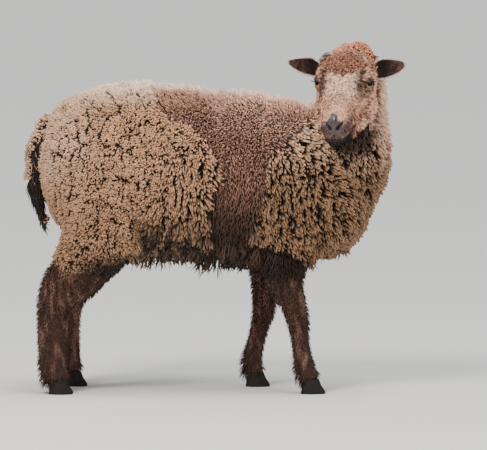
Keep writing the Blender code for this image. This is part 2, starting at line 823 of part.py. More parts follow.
def fleece_clumps(body):
    """The clumps of the old fleece on the rump, shoulders and neck, hanging down and back."""
    draw = np.random.default_rng(11)

    def wanted(point, normal):
        if point.z < LEG_HAIR_TOP and abs(normal.z) < LEG_FACES_OUT:
            return False
        if normal.z < FLEECE_UNDER or point.z < FLEECE_LOWEST:
            return False
        return old_fleece(point.x, point.z) > FLEECE_SURE

    clumps = []
    for point, normal in scattered(body, FLEECE_CLUMP[0], wanted, 7):
        lie = Vector((-0.55 if point.x < 0.05 else 0.10, 0.0, -1.0))
        if normal.z > BACK_UP:
            lie = Vector((-1.0, 0.0, -0.2))
        turn = Matrix.Rotation(draw.uniform(-0.35, 0.35), 3, normal)
        clumps.append(clump(point, normal, turn @ lie, varied(FLEECE_CLUMP[1:], draw)))
    return clumps


def belly_locks(body):
    """The shaggy locks that hang below the belly."""
    draw = np.random.default_rng(12)

    def wanted(point, normal):
        return BELLY_REACH[0] < point.x < BELLY_REACH[1] and normal.z < BELLY_UNDER and point.z < BELLY_TOP

    locks = []
    for point, normal in scattered(body, BELLY_LOCK[0], wanted, 8):
        lie = Vector((-0.4, normal.y * 1.5, -1.0)) - Vector(normal) * 0.2
        locks.append(clump(point, normal, lie, varied(BELLY_LOCK[1:], draw)))
    return locks


def build_body():
    """The torso with the roots of the legs, and the neck, as one solid with its clumps."""
    body = loft("torso", torso_rings(), 24, "fleece")
    for vert in body.data.vertices:
        saddle = 1 - old_fleece(vert.co.x, vert.co.z)
        vert.co += vert.normal * SADDLE_STAND * saddle
    pieces = [loft("neck_core", neck_rings(), 18, "fleece")]
    pieces += [leg_root(name, rows, count) for name, rows, count in leg_places()]
    combine(body, "UNION", pieces)
    combine(body, "UNION", fleece_clumps(body) + belly_locks(body))
    thin_faces(body, BODY_FACES_KEPT)
    return body


def part_neck(torso):
    """Parts the neck from the torso with one thin cut."""
    neck = torso.copy()
    neck.data = torso.data.copy()
    neck.name = "neck"
    bpy.context.scene.collection.objects.link(neck)
    point, normal = NECK_PLANE
    shift = normal.normalized() * GAP / 2
    combine(torso, "DIFFERENCE", [half_space("front", point - shift, normal)])
    combine(neck, "DIFFERENCE", [half_space("rear", point + shift, -normal)])
    return neck


def build_legs(torso):
    cutters = []
    for name, rows, count in leg_places():
        loft("leg_" + name, leg_below(rows, count), LEG_SIDES, "dark_coat")
        cutters.append(loft("clear_" + name, leg_below(rows, count, GAP, GAP / 3), LEG_SIDES, "dark_coat"))
        x, y = rows[-1][0], rows[-1][1]
        outward = -1 if name.endswith("right") else 1
        claw(f"claw_{name}_outer", x, y, outward)
        claw(f"claw_{name}_inner", x, y, -outward)
    combine(torso, "DIFFERENCE", cutters)


def build_tail(torso):
    loft("tail", tail_rings(), 14, "dark_coat")
    combine(torso, "DIFFERENCE", [loft("tail_socket", deeper(tail_rings(GAP)), 14, "dark_coat")])


def main():
    clear_scene()
    torso = build_body()
    neck = part_neck(torso)
    build_legs(torso)
    build_tail(torso)
    clear_of_head(neck, build_head(topknot_places()))


main()
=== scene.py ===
"""Looks of a life-size Soay sheep: one skin, eyes, horn stubs, claws and a coat of mesh tufts.

The pieces lie round a fixed frame, in metres with +Z up. +X points from rump to chest, and -Y is the
sheep's right side, which faces the camera.
"""

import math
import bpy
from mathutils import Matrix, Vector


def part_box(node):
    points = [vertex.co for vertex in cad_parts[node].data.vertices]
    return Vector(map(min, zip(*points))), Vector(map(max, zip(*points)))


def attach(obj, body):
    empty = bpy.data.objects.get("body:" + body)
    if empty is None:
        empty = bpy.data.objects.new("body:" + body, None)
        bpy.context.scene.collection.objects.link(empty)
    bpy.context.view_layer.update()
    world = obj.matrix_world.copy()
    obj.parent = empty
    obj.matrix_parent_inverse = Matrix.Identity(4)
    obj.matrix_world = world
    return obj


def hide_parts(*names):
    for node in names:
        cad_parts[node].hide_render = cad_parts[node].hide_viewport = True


bl_info = {
    "name": "Soay sheep",
    "version": (1, 0, 0),
    "blender": (4, 5, 0),
    "location": "View3D > Sidebar > Sheep",
    "description": "Builds a standing Soay sheep with a half-shed fleece round its packed frame",
    "category": "Object",
}

import bmesh
import bpy
import numpy as np
from mathutils import Matrix, Vector
from mathutils.bvhtree import BVHTree
from mathutils.kdtree import KDTree

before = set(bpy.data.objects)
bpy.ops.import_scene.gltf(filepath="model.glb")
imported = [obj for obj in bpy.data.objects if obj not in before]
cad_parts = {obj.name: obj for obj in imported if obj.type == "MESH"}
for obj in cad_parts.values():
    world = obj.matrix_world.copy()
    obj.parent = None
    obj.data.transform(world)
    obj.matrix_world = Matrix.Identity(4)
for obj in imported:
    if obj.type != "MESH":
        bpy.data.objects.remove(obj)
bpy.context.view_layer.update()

# Sizes that follow the frame's own. Way is -1 for the sheep's right side and 1 for its left
SIDES = (("right", -1), ("left", 1))
MIDLINE_Y = 0.038
# x, top, bottom, half width
TORSO = (
    (-0.318, 0.475, 0.385, 0.040),
    (-0.300, 0.522, 0.332, 0.086),
    (-0.265, 0.550, 0.296, 0.116),
    (-0.215, 0.569, 0.278, 0.132),
    (-0.155, 0.578, 0.268, 0.138),
    (-0.095, 0.578, 0.262, 0.136),
    (-0.035, 0.574, 0.256, 0.131),
    (0.025, 0.564, 0.255, 0.126),
    (0.085, 0.560, 0.258, 0.120),
    (0.140, 0.556, 0.262, 0.116),
    (0.190, 0.532, 0.262, 0.110),
    (0.230, 0.492, 0.268, 0.098),
    (0.262, 0.450, 0.295, 0.078),
    (0.284, 0.410, 0.340, 0.046),
)
TORSO_POWER = 2.3
BELLY_SWELL = 0.07
# Height, and the x of the old fleece's edge there
RUMP_EDGE = (
    (0.250, -0.045), (0.268, -0.038), (0.302, -0.004), (0.338, -0.014), (0.394, -0.018), (0.425, 0.012),
    (0.452, -0.008), (0.492, -0.030), (0.511, -0.056), (0.520, -0.088), (0.539, -0.104), (0.580, -0.122),
)
SHOULDER_EDGE = (
    (0.235, 0.205), (0.262, 0.165), (0.284, 0.138), (0.292, 0.098), (0.300, 0.072), (0.319, 0.066),
    (0.357, 0.082), (0.398, 0.101), (0.442, 0.096), (0.476, 0.124), (0.527, 0.187),
)
# x, y from the midline, z, half fore and aft, half across
NECK = (
    (0.170, 0.000, 0.370, 0.088, 0.084),
    (0.212, 0.000, 0.398, 0.092, 0.086),
    (0.244, -0.004, 0.440, 0.083, 0.082),
    (0.256, -0.012, 0.488, 0.070, 0.076),
    (0.263, -0.022, 0.533, 0.057, 0.070),
    (0.270, -0.036, 0.573, 0.046, 0.063),
    (0.262, -0.058, 0.604, 0.046, 0.055),
    (0.257, -0.084, 0.622, 0.040, 0.044),
)
# The legs: y from the midline, z, half fore and aft, half across, with the x of each row apart
FRONT_LEG = (
    (0.062, 0.390, 0.062, 0.034),
    (0.070, 0.330, 0.060, 0.038),
    (0.074, 0.280, 0.048, 0.036),
    (0.074, 0.243, 0.040, 0.031),
    (0.073, 0.203, 0.031, 0.026),
    (0.071, 0.165, 0.024, 0.022),
    (0.070, 0.140, 0.022, 0.021),
    (0.069, 0.118, 0.019, 0.018),
    (0.068, 0.085, 0.018, 0.017),
    (0.068, 0.055, 0.020, 0.019),
    (0.068, 0.040, 0.019, 0.019),
    (0.068, 0.026, 0.020, 0.021),
)
FRONT_X = {
    "right": (0.140, 0.138, 0.133, 0.132, 0.139, 0.152, 0.158, 0.161, 0.165, 0.171, 0.176, 0.182),
    "left": (0.128, 0.122, 0.112, 0.105, 0.100, 0.096, 0.093, 0.087, 0.079, 0.072, 0.073, 0.077),
}
HIND_LEG = (
    (0.060, 0.430, 0.090, 0.052),
    (0.074, 0.370, 0.088, 0.056),
    (0.084, 0.320, 0.074, 0.050),
    (0.086, 0.285, 0.060, 0.044),
    (0.084, 0.254, 0.052, 0.037),
    (0.081, 0.226, 0.047, 0.031),
    (0.078, 0.200, 0.044, 0.027),
    (0.076, 0.180, 0.036, 0.025),
    (0.075, 0.160, 0.031, 0.023),
    (0.075, 0.135, 0.028, 0.021),
    (0.075, 0.090, 0.027, 0.021),
    (0.075, 0.055, 0.026, 0.022),
    (0.075, 0.040, 0.024, 0.021),
    (0.075, 0.026, 0.024, 0.022),
)
HIND_X = (
    -0.205, -0.205, -0.210, -0.224, -0.244, -0.268, -0.288,
    -0.300, -0.306, -0.309, -0.309, -0.307, -0.303, -0.297,
)
# How far ahead of those rows each hind leg stands
HIND_STEP = {"right": 0.0, "left": 0.0245}
# x, z, half fore and aft, half across
TAIL = (
    (-0.296, 0.512, 0.010, 0.018),
    (-0.324, 0.496, 0.013, 0.023),
    (-0.339, 0.460, 0.014, 0.028),
    (-0.342, 0.415, 0.014, 0.029),
    (-0.337, 0.370, 0.013, 0.026),
    (-0.329, 0.335, 0.009, 0.018),
    (-0.325, 0.318, 0.003, 0.006),
)
EYES_AT = Vector((0.245, MIDLINE_Y - 0.117, 0.594))
HEAD_TURN = math.radians(10)
HEAD_DROOP = math.radians(26.5)
# Along the face from the eyes, top, bottom, half width, narrowing of the jaw
HEAD = (
    (-0.100, 0.012, -0.024, 0.020, 0.10),
    (-0.091, 0.025, -0.044, 0.036, 0.12),
    (-0.074, 0.034, -0.060, 0.046, 0.18),
    (-0.052, 0.039, -0.074, 0.051, 0.25),
    (-0.028, 0.041, -0.082, 0.054, 0.35),
    (0.000, 0.038, -0.080, 0.054, 0.42),
    (0.030, 0.030, -0.073, 0.0445, 0.45),
    (0.060, 0.023, -0.066, 0.0355, 0.42),
    (0.088, 0.017, -0.063, 0.0305, 0.34),
    (0.110, 0.012, -0.064, 0.0290, 0.26),
    (0.127, 0.006, -0.062, 0.0245, 0.20),
    (0.137, -0.003, -0.055, 0.0190, 0.15),
    (0.1415, -0.016, -0.040, 0.0110, 0.10),
)
HEAD_POWER = 2.35
EYE_RADIUS = 0.0135
EYE_ACROSS = 0.0415
EYE_LID = 0.0030
EYE_OPENING = (0.0152, 0.0056)
EYE_LOOK = math.radians(37)
EYE_TILT = math.radians(17)
# Along the ear from its root, half width, depth of its back, thickness
EAR = (
    (0.000, 0.0100, 0.0090, 0.0180),
    (0.009, 0.0120, 0.0100, 0.0200),
    (0.018, 0.0140, 0.0115, 0.0190),
    (0.028, 0.0185, 0.0125, 0.0085),
    (0.037, 0.0192, 0.0115, 0.0050),
    (0.050, 0.0168, 0.0085, 0.0038),
    (0.063, 0.0130, 0.0050, 0.0030),
    (0.073, 0.0076, 0.0026, 0.0022),
    (0.0785, 0.0030, 0.0012, 0.0014),
)
# How much longer and wider each ear is than its table, by way
EAR_LONGER = {-1: 1.05, 1: 0.94}
EAR_WIDER = {-1: 0.18, 1: 0.28}
# From here on places are in the head's own frame, with the second number mirrored by way
EAR_ROOT = (-0.056, 0.034, 0.004)
# Middle of each horn stub and its half width, by way
STUBS = {
    -1: (
        (-0.046, 0.024, 0.0310, 0.0050),
        (-0.046, 0.033, 0.0350, 0.0056),
        (-0.044, 0.042, 0.0325, 0.0050),
        (-0.042, 0.0495, 0.0260, 0.0030),
    ),
    1: (
        (-0.046, 0.014, 0.0400, 0.0028),
        (-0.041, 0.027, 0.0370, 0.0040),
        (-0.036, 0.037, 0.0295, 0.0044),
        (-0.030, 0.0460, 0.0185, 0.0032),
    ),
}
HUMP_AT = Vector((-0.070, 0.016, 0.017))
HUMP = (0.026, 0.025, 0.022)
# Bulges under the skin of both sides of the head: place and radii
BULGES = (
    ((-0.004, 0.0345, 0.0160), (0.024, 0.0130, 0.0100)),
    ((0.004, 0.0400, -0.0460), (0.040, 0.0120, 0.0260)),
    ((0.026, 0.0370, -0.0170), (0.034, 0.0085, 0.0070)),
    ((0.040, 0.0255, -0.0500), (0.040, 0.0160, 0.0200)),
    ((0.080, 0.0160, -0.0550), (0.032, 0.0130, 0.0150)),
    ((0.068, 0.0205, -0.0340), (0.036, 0.0120, 0.0240)),
    ((0.112, 0.0140, -0.0290), (0.022, 0.0135, 0.0130)),
    ((0.108, 0.0080, -0.0520), (0.020, 0.0140, 0.0120)),
    ((0.130, 0.0100, -0.0070), (0.011, 0.0100, 0.0110)),
)

# How far the skin lies under the frame's tables, and how the mesh is made
FLEECE_DEPTH = 0.008
SADDLE_RISE = 0.001
HAIR_DEPTH = 0.0015
TAIL_DEPTH = 0.004
TAIL_FLAT = 0.55
TAIL_THINNEST = 0.003
BODY_VOXEL = 0.0042
HEAD_VOXEL = 0.0013
LONGEST_FIXED = 100

# The coat: each root's patch of the unwrap, the form of its tufts, and the seed and size of shared patterns
PATCH = 0.003
TUFT_SIDES = 3
MOST_TRIANGLES = 196000
LOWEST = 0.001
CREASE_SEED = 77
GROUP_SIZE = 0.036
GROUP_SQUASH = 0.42
ROOTS_TRIED = 5
LEGS_APART_X = -0.05
WIDTHS = {
    "saddle": 0.0026, "leg": 0.0021, "face": 0.0016, "lash": 0.0008, "curl": 0.0021, "ear": 0.0010,
    "belly": 0.0055, "tail": 0.0028,
}
LASH_LENGTH = 0.0068
EAR_HAIR_LENGTH = 0.0050

# Camera: the picture is 487 by 450 and this wide in metres at the sheep
PICTURE = (487, 450)
PIXEL = 0.0019
PICTURE_ZERO = (214.5, 392.0)
VIEW_RISE = math.radians(5)
CAMERA_AWAY = 18.0
SENSOR = 36.0

# Light: the studio's own, the sun's, and lamps with their place, size, power and colour
STUDIO_LIGHT = 0.43
SUN_LIGHT = 2.1
LAMPS = (
    ("key", (-1.4, -2.6, 3.2), 1.2, 145.0, (1.0, 0.97, 0.93)),
    ("fill", (2.8, -2.2, 1.8), 2.0, 30.0, (1.0, 0.98, 0.96)),
)
LAMPS_AIM = Vector((0, 0, 0.35))

MADE = {}


def colour(name, about, value):
    return bpy.props.FloatVectorProperty(
        name=name, description=about, default=value, size=3, min=0, max=1, subtype="COLOR"
    )


def length(name, about, value):
    return bpy.props.FloatProperty(
        name=name, description=about, default=value, min=0, unit="LENGTH", precision=4
    )


def amount(name, about, value):
    return bpy.props.IntProperty(name=name, description=about, default=value, min=10)


class SheepColours(bpy.types.PropertyGroup):
    fleece: colour("Fleece", "Tan of the old fleece at the tips of its locks", (0.46, 0.270, 0.160))
    # Old fleece made darker low down: partly its own tone, partly painted shade.
    fleece_low: colour("Fleece, low", "Old fleece of the thighs and low on the flanks", (0.37, 0.210, 0.120))
    # Sun-bleached fleece, and painted highlight on the up-facing top of the back and rump.
    bleached: colour("Bleached", "Fleece of the back, bleached by the sun", (0.92, 0.74, 0.61))
    mane: colour("Mane", "Locks of the lower neck and shoulders", (0.28, 0.158, 0.086))
    ruff: colour("Ruff", "Wool of the upper neck", (0.74, 0.48, 0.325))
    # Dark base of every lock: painted shade deep in the coat, also laid on the skin under the wool.
    root: colour("Roots", "Dark base of every lock", (0.032, 0.017, 0.010))
    saddle: colour("Saddle", "New short wool of the flanks", (0.50, 0.258, 0.182))
    # Painted highlight: the new wool made lighter along the top, where it catches the light.
    saddle_top: colour("Saddle, top", "New wool near the spine and on the withers", (0.90, 0.56, 0.41))
    # Painted shade: the new wool made darker low on the flanks and beside the overhanging edge of the rump's
    # fleece.
    saddle_low: colour("Saddle, low", "New wool low on the flanks and above the legs", (0.060, 0.030, 0.018))
    # belly: the dark wool under the belly, with painted shade on the underside and low on the flank between
    # the legs.
    belly: colour("Belly", "Wool under the belly", (0.012, 0.008, 0.005))
    leg: colour("Legs", "Short hair of the legs", (0.066, 0.029, 0.020))
    tail: colour("Tail", "Hair of the tail", (0.018, 0.011, 0.008))
    face: colour("Face", "Hair of the cheeks", (0.72, 0.410, 0.280))
    blaze: colour("Blaze", "Pale grizzled hair between the eyes", (1.0, 0.70, 0.53))
    muzzle: colour("Muzzle", "Short hair of the lips", (0.120, 0.074, 0.070))
    mask: colour("Mask", "Dark hair round the eyes and down the tear lines", (0.075, 0.045, 0.040))
    topknot: colour("Topknot", "Curls of the poll", (0.42, 0.190, 0.116))
    topknot_top: colour("Topknot, top", "Sunlit wool at the back of the poll", (0.74, 0.330, 0.190))
    # Dark hair under the jaw and on the chin, and painted shade under the jaw and in the fold in front of the
    # thigh.
    throat: colour("Throat", "Dark hair under the jaw", (0.018, 0.011, 0.008))
    ear_inside: colour("Ear inside", "Thin hair in the ear's cup, towards the tip", (0.034, 0.014, 0.009))
    # Dark skin deep in the cup of the ear, with painted shade in that recess.
    ear_deep: colour("Ear, deep", "Skin deep in the cup of the ear", (0.012, 0.005, 0.004))
    ear_rim: colour("Ear rim", "Pale hair of the ear's edge", (0.95, 0.78, 0.70))
    nose: colour("Nose", "Bare skin of the nose", (0.070, 0.045, 0.051))
    lip: colour("Lip", "Skin of the lips and lids", (0.022, 0.015, 0.014))
    horn: colour("Horn", "Horn stubs", (0.20, 0.150, 0.130))
    hoof: colour("Hoof", "Claws of the feet", (0.011, 0.008, 0.007))
    iris: colour("Iris", "Amber of the eye", (0.66, 0.36, 0.12))


class SheepSizes(bpy.types.PropertyGroup):
    lock_length: length("Lock length", "Length of a lock of the old fleece", 0.026)
    lock_width: length("Lock width", "Thickness of a lock of the old fleece", 0.0046)
    saddle_length: length("Saddle length", "Length of the new wool on the flanks", 0.0135)
    hair_length: length("Hair length", "Length of the short hair of the legs", 0.0100)
    face_length: length("Face hair length", "Length of the hair of the face", 0.0055)
    curl_length: length("Curl length", "Length of the curls of the topknot", 0.009)
    belly_length: length("Belly length", "Length of the locks under the belly", 0.037)
    tail_length: length("Tail hair length", "Length of the hair of the tail", 0.028)
    nub_count: amount("Nubs", "Short locks on the old fleece of rump and back", 27500)
    finger_count: amount("Fingers", "Long locks on the old fleece of shoulders, neck and flanks", 19000)
    saddle_count: amount("Saddle tufts", "Tufts on the flanks", 25000)
    leg_count: amount("Leg tufts", "Tufts on the legs", 12000)
    face_count: amount("Face tufts", "Tufts on the face", 14500)
    curl_count: amount("Curls", "Curls of the topknot", 3600)
    ear_count: amount("Ear tufts", "Tufts on the ears", 2200)
    belly_count: amount("Belly locks", "Locks under the belly", 2600)
    tail_count: amount("Tail tufts", "Tufts on the tail", 1300)


def tints():
    return bpy.context.scene.sheep_colours


def sizes():
    return bpy.context.scene.sheep_sizes


def smooth_rows(rows, per_span):
    """The rows of a table and those between them on a Catmull-Rom curve, per_span to each span."""
    rows = np.array(rows, float)
    ends = np.vstack([2 * rows[0] - rows[1], rows, 2 * rows[-1] - rows[-2]])
    found = []
    for before, start, end, after in zip(ends, ends[1:], ends[2:], ends[3:]):
        for t in np.arange(per_span) / per_span:
            bend = 2 * before - 5 * start + 4 * end - after
            twist = 3 * start - before - 3 * end + after
            found.append(start + 0.5 * t * (end - before + t * (bend + t * twist)))
    found.append(rows[-1])
    return np.array(found)


def smooth_step(low, high, value):
    share = np.clip((np.asarray(value, float) - low) / (high - low), 0.0, 1.0)
    return share * share * (3 - 2 * share)


def bell(value, width):
    return np.exp(-((np.asarray(value, float) / width) ** 2))


def rounded(power, swell=0.0):
    """A ring's outline: a superellipse, and with swell it is wider low down."""

    def outline(a, b):
        wide = math.copysign(abs(a) ** (2 / power), a)
        high = math.copysign(abs(b) ** (2 / power), b)
        return wide * (1 - swell * high), high

    return outline


def loft(bm, rings, sides):
    """A closed tube through rings, each a centre, the vectors to its side and to its top, and an outline."""
    loops = []
    for centre, side, top, outline in rings:
        made = bmesh.ops.create_circle(bm, cap_ends=False, segments=sides, radius=1.0)
        for vert in made["verts"]:
            wide, high = outline(vert.co.x, vert.co.y)
            vert.co = Vector(centre) + Vector(side) * wide + Vector(top) * high
        loops.append(list(dict.fromkeys(edge for vert in made["verts"] for edge in vert.link_edges)))
    faces = []
    for first, second in zip(loops, loops[1:]):
        faces += bmesh.ops.bridge_loops(bm, edges=first + second)["faces"]
    for end in (loops[0], loops[-1]):
        faces += bmesh.ops.contextual_create(bm, geom=end)["faces"]
    bmesh.ops.recalc_face_normals(bm, faces=faces)


def tube_rings(rows, outline=None, grow=0.0):
    """Rings square to the line through rows of x, y, z, half fore and aft, half across."""
    outline = outline or rounded(2.0)
    points = [Vector(row[:3]) for row in rows]
    rings = []
    side = Vector((0, 1, 0))
    for i, row in enumerate(rows):
        along = (points[min(i + 1, len(points) - 1)] - points[max(i - 1, 0)]).normalized()
        side = (side - along * side.dot(along)).normalized()
        fore = side.cross(along)
        rings.append((points[i], side * (row[4] + grow), fore * (row[3] + grow), outline))
    return rings


def rounded_ends(rings, steps, reach):
    """The rings with a few shrinking ones beyond each end, so that the tube ends in a dome."""
    out = []
    for end, following in ((0, 1), (-1, -2)):
        centre, side, top, outline = rings[end]
        away = (Vector(centre) - Vector(rings[following][0])).normalized() * reach
        dome = []
        for step in range(1, steps + 1):
            angle = math.pi / 2 * step / (steps + 0.3)
            shrink = math.cos(angle)
            middle = Vector(centre) + away * math.sin(angle)
            dome.append((middle, Vector(side) * shrink, Vector(top) * shrink, outline))
        out.append(dome)
    return out[0][::-1] + list(rings) + out[1]


def ellipsoid(bm, centre, radii, turn=None, segments=32):
    place = Matrix.Translation(centre) @ (turn or Matrix.Identity(4)) @ Matrix.Diagonal((*radii, 1))
    bmesh.ops.create_uvsphere(bm, u_segments=segments, v_segments=segments // 2, radius=1.0, matrix=place)


def new_object(name, bm):
    mesh = bpy.data.meshes.new(name)
    bm.to_mesh(mesh)
    bm.free()
    mesh.shade_smooth()
    thing = bpy.data.objects.new(name, mesh)
    bpy.context.scene.collection.objects.link(thing)
    return thing


def applied(thing):
    """The thing with its modifiers made part of its mesh."""
    graph = bpy.context.evaluated_depsgraph_get()
    mesh = bpy.data.meshes.new_from_object(thing.evaluated_get(graph))
    thing.modifiers.clear()
    thing.data = mesh
    mesh.shade_smooth()
    return thing


def remeshed(thing, voxel):
    remesh = thing.modifiers.new("remesh", "REMESH")
    remesh.mode = "VOXEL"
    remesh.voxel_size = voxel
    return applied(thing)


def combined(thing, operation, other):
    boolean = thing.modifiers.new(operation, "BOOLEAN")
    boolean.operation = operation
    boolean.object = other
    boolean.solver = "MANIFOLD"
    applied(thing)
    bpy.data.objects.remove(other)
    return thing


def middles_of(thing):
    """The middle of each face in whole micrometres."""
    return list(map(tuple, np.round(read(thing.data.polygons, "center", width=3) * 1e6).astype(int).tolist()))


def lowest_first(face):
    first = face.index(min(face))
    return face[first:] + face[:first]


def in_order(thing, known=()):
    """Numbers vertices and faces by their places where a boolean numbers them anew on each run.

    That is in the long row of faces that it made. known holds the middles of those that it took over.
    """
    points = points_of(thing.data)
    order = np.lexsort(points.T)
    rank = np.empty(len(points), int)
    rank[order] = np.arange(len(points))
    faces = [rank[list(face.vertices)].tolist() for face in thing.data.polygons]
    middles = middles_of(thing)
    start = 0
    while start < len(faces):
        end = start
        while end < len(faces) and middles[end] not in known:
            end += 1
        if end - start > LONGEST_FIXED:
            faces[start:end] = sorted(lowest_first(face) for face in faces[start:end])
        start = end + 1
    mesh = bpy.data.meshes.new(thing.name)
    mesh.from_pydata(points[order].tolist(), [], faces)
    mesh.shade_smooth()
    thing.data = mesh
    return thing


def eased(thing, rounds, factor=0.5):
    """Evens out the surface, as sanding would."""
    bm = bmesh.new()
    bm.from_mesh(thing.data)
    for _ in range(rounds):
        bmesh.ops.smooth_vert(
            bm, verts=bm.verts, factor=factor, use_axis_x=True, use_axis_y=True, use_axis_z=True
        )
    bm.to_mesh(thing.data)
    bm.free()
    return thing


def read(items, key, kind=float, width=1):
    """One property of all the vertices, faces or corners of a mesh, as an array."""
    values = np.empty(len(items) * width, kind)
    items.foreach_get(key, values)
    return values.reshape(-1, width) if width > 1 else values


def points_of(mesh):
    return read(mesh.vertices, "co", width=3)


def normals_of(mesh):
    return read(mesh.vertex_normals, "vector", width=3)


def ahead_of(points, edge):
    """How far each place lies ahead of an edge of the old fleece."""
    heights, edges = zip(*edge)
    return points[:, 0] - np.interp(points[:, 2], heights, edges)


def old_fleece(points):
    """How much of each place lies under the old fleece, from 0 on the saddle to 1."""
    inside = np.maximum(-ahead_of(points, RUMP_EDGE), ahead_of(points, SHOULDER_EDGE))
    ragged = 0.006 * scatter_noise(points, 0.030, 11)
    return smooth_step(-0.007, 0.007, inside + ragged)


def head_frame():
    """The head's axes as a matrix: x along the face, y to the sheep's left, z out of the forehead."""
    level = Vector((-math.sin(HEAD_TURN), -math.cos(HEAD_TURN), 0))
    up = Vector((0, 0, 1))
    face = level * math.cos(HEAD_DROOP) - up * math.sin(HEAD_DROOP)
    crown = level * math.sin(HEAD_DROOP) + up * math.cos(HEAD_DROOP)
    left = crown.cross(face)
    turn = Matrix((face, left, crown)).transposed().to_4x4()
    return Matrix.Translation(EYES_AT) @ turn


def in_head(points):
    """World points as places in the head's frame: f, l, u."""
    place = np.array(head_frame())
    return (points - place[:3, 3]) @ place[:3, :3]


def from_head(vector):
    return head_frame().to_3x3() @ Vector(vector)


def all_from_head(vectors):
    return vectors @ np.array(head_frame())[:3, :3].T


def eye_place(way):
    """The eye's centre and its axes: x along the lids, y out of the pupil, z up the lid."""
    place = head_frame()
    centre = place @ Vector((0.0, way * EYE_ACROSS, 0.0))
    out = place.to_3x3() @ Vector((math.sin(EYE_LOOK), way * math.cos(EYE_LOOK), 0.12))
    up = place.to_3x3() @ Vector((0, 0, 1))
    out.normalize()
    along = out.cross(up).normalized()
    turn = Matrix((along, out, along.cross(out))).transposed().to_4x4()
    return centre, turn @ Matrix.Rotation(-way * EYE_TILT, 4, "Y")


def in_eye(points, way):
    """World points as places in an eye's frame: along the lids, out of the pupil and up the lid."""
    centre, look = eye_place(way)
    return ((points - np.array(centre)) @ np.array(look)[:3, :3]).T


def torso_rings():
    rings = []
    for x, top, bottom, half in smooth_rows(TORSO, 4):
        middle = np.array([[x, MIDLINE_Y, 0.42]])
        grow = SADDLE_RISE - (SADDLE_RISE + FLEECE_DEPTH) * float(old_fleece(middle)[0])
        centre = Vector((x, MIDLINE_Y, (top + bottom) / 2))
        rise = Vector((0, 0, (top - bottom) / 2 + grow))
        rings.append((centre, Vector((0, half + grow, 0)), rise, rounded(TORSO_POWER, BELLY_SWELL)))
    return rounded_ends(rings, 4, 0.006)


def leg_tables():
    """The rows of each leg as x, y, z, half fore and aft, half across."""
    for side, way in SIDES:
        for places, table, step in ((FRONT_X[side], FRONT_LEG, 0.0), (HIND_X, HIND_LEG, HIND_STEP[side])):
            yield [(x + step, MIDLINE_Y + way * y, z, a, b) for x, (y, z, a, b) in zip(places, table)]


def body_skin():
    bm = bmesh.new()
    loft(bm, torso_rings(), 56)
    rows = smooth_rows(NECK, 4)
    rows[:, 1] += MIDLINE_Y
    loft(bm, tube_rings(rows, grow=-FLEECE_DEPTH), 40)
    for rows in leg_tables():
        loft(bm, tube_rings(smooth_rows(rows, 4), grow=-HAIR_DEPTH), 28)
    thin = []
    for x, z, fore, across in TAIL:
        fore = max(fore - TAIL_DEPTH, TAIL_THINNEST)
        across = max(across * TAIL_FLAT - TAIL_DEPTH, TAIL_THINNEST)
        thin.append((x, MIDLINE_Y, z, fore, across))
    loft(bm, tube_rings(smooth_rows(thin, 4)), 20)
    body = remeshed(new_object("body", bm), BODY_VOXEL)
    return eased(body, 4)


def head_rings(grow):
    place = head_frame()
    turn = place.to_3x3()
    rings = []
    for f, top, bottom, half, jaw in smooth_rows(HEAD, 6):
        def outline(a, b, jaw=jaw):
            wide, high = rounded(HEAD_POWER)(a, b)
            low = max(0.0, 0.25 - high) / 1.25
            return wide * (1 - jaw * low**1.3), high

        centre = place @ Vector((f, 0, (top + bottom) / 2))
        side = turn @ Vector((0, half + grow, 0))
        rings.append((centre, side, turn @ Vector((0, 0, (top - bottom) / 2 + grow)), outline))
    return rings


def ear_rings(way):
    place = head_frame()
    turn = place.to_3x3()
    root = place @ Vector((EAR_ROOT[0], way * EAR_ROOT[1], EAR_ROOT[2]))
    along = (turn @ Vector((-0.12, way, 0.03))).normalized()
    wide = turn @ Vector((0.0, 0.0, 1.0))
    wide = (wide - along * wide.dot(along)).normalized()
    back = wide.cross(along).normalized() * way
    rings = []
    wider = EAR_WIDER[way]
    for reach, half, cup, thick in smooth_rows(EAR, 5):
        def outline(a, b, cup=cup, thick=thick):
            return (a, cup * b) if b > 0 else (a, (cup - thick) * -b)

        middle = root + along * reach * EAR_LONGER[way] - back * cup * 0.6 - wide * half * wider
        rings.append((middle, wide * half * (1 + wider), back, outline))
    return rings


def head_skin():
    place = head_frame()
    turn = place.to_3x3().to_4x4()
    bm = bmesh.new()
    loft(bm, head_rings(-HAIR_DEPTH), 72)
    rows = smooth_rows(NECK[-4:], 3)
    rows[:, 1] += MIDLINE_Y
    loft(bm, tube_rings(rows, grow=-FLEECE_DEPTH - 0.002), 40)
    for way in (-1, 1):
        for (f, l, u), radii in BULGES:
            ellipsoid(bm, place @ Vector((f, way * l, u)), radii, turn)
        centre, look = eye_place(way)
        ellipsoid(bm, centre, (EYE_RADIUS + EYE_LID,) * 3, look)
        loft(bm, ear_rings(way), 48)
    ellipsoid(bm, place @ HUMP_AT, HUMP, turn)
    return remeshed(new_object("skin", bm), HEAD_VOXEL)


def mouth_distance(f, u):
    """How far above the line of the mouth a place on the muzzle is, and how surely it is beside it."""
    back = smooth_step(0.120, 0.086, f)
    line = -0.0400 + 0.0035 * back
    return u - line, smooth_step(0.083, 0.090, f)


def nostril_distance(f, l, u):
    """Distance from the slit of each nostril, which rises outwards, and how much it is on the nose."""
    across = np.abs(l) - 0.0105
    rise = u + 0.0105
    slant = math.radians(50)
    along = across * math.cos(slant) + rise * math.sin(slant)
    off = -across * math.sin(slant) + rise * math.cos(slant) + 14.0 * along**2
    past = np.maximum(np.abs(along) - 0.0075, 0)
    return np.hypot(off, past), smooth_step(0.118, 0.126, f)


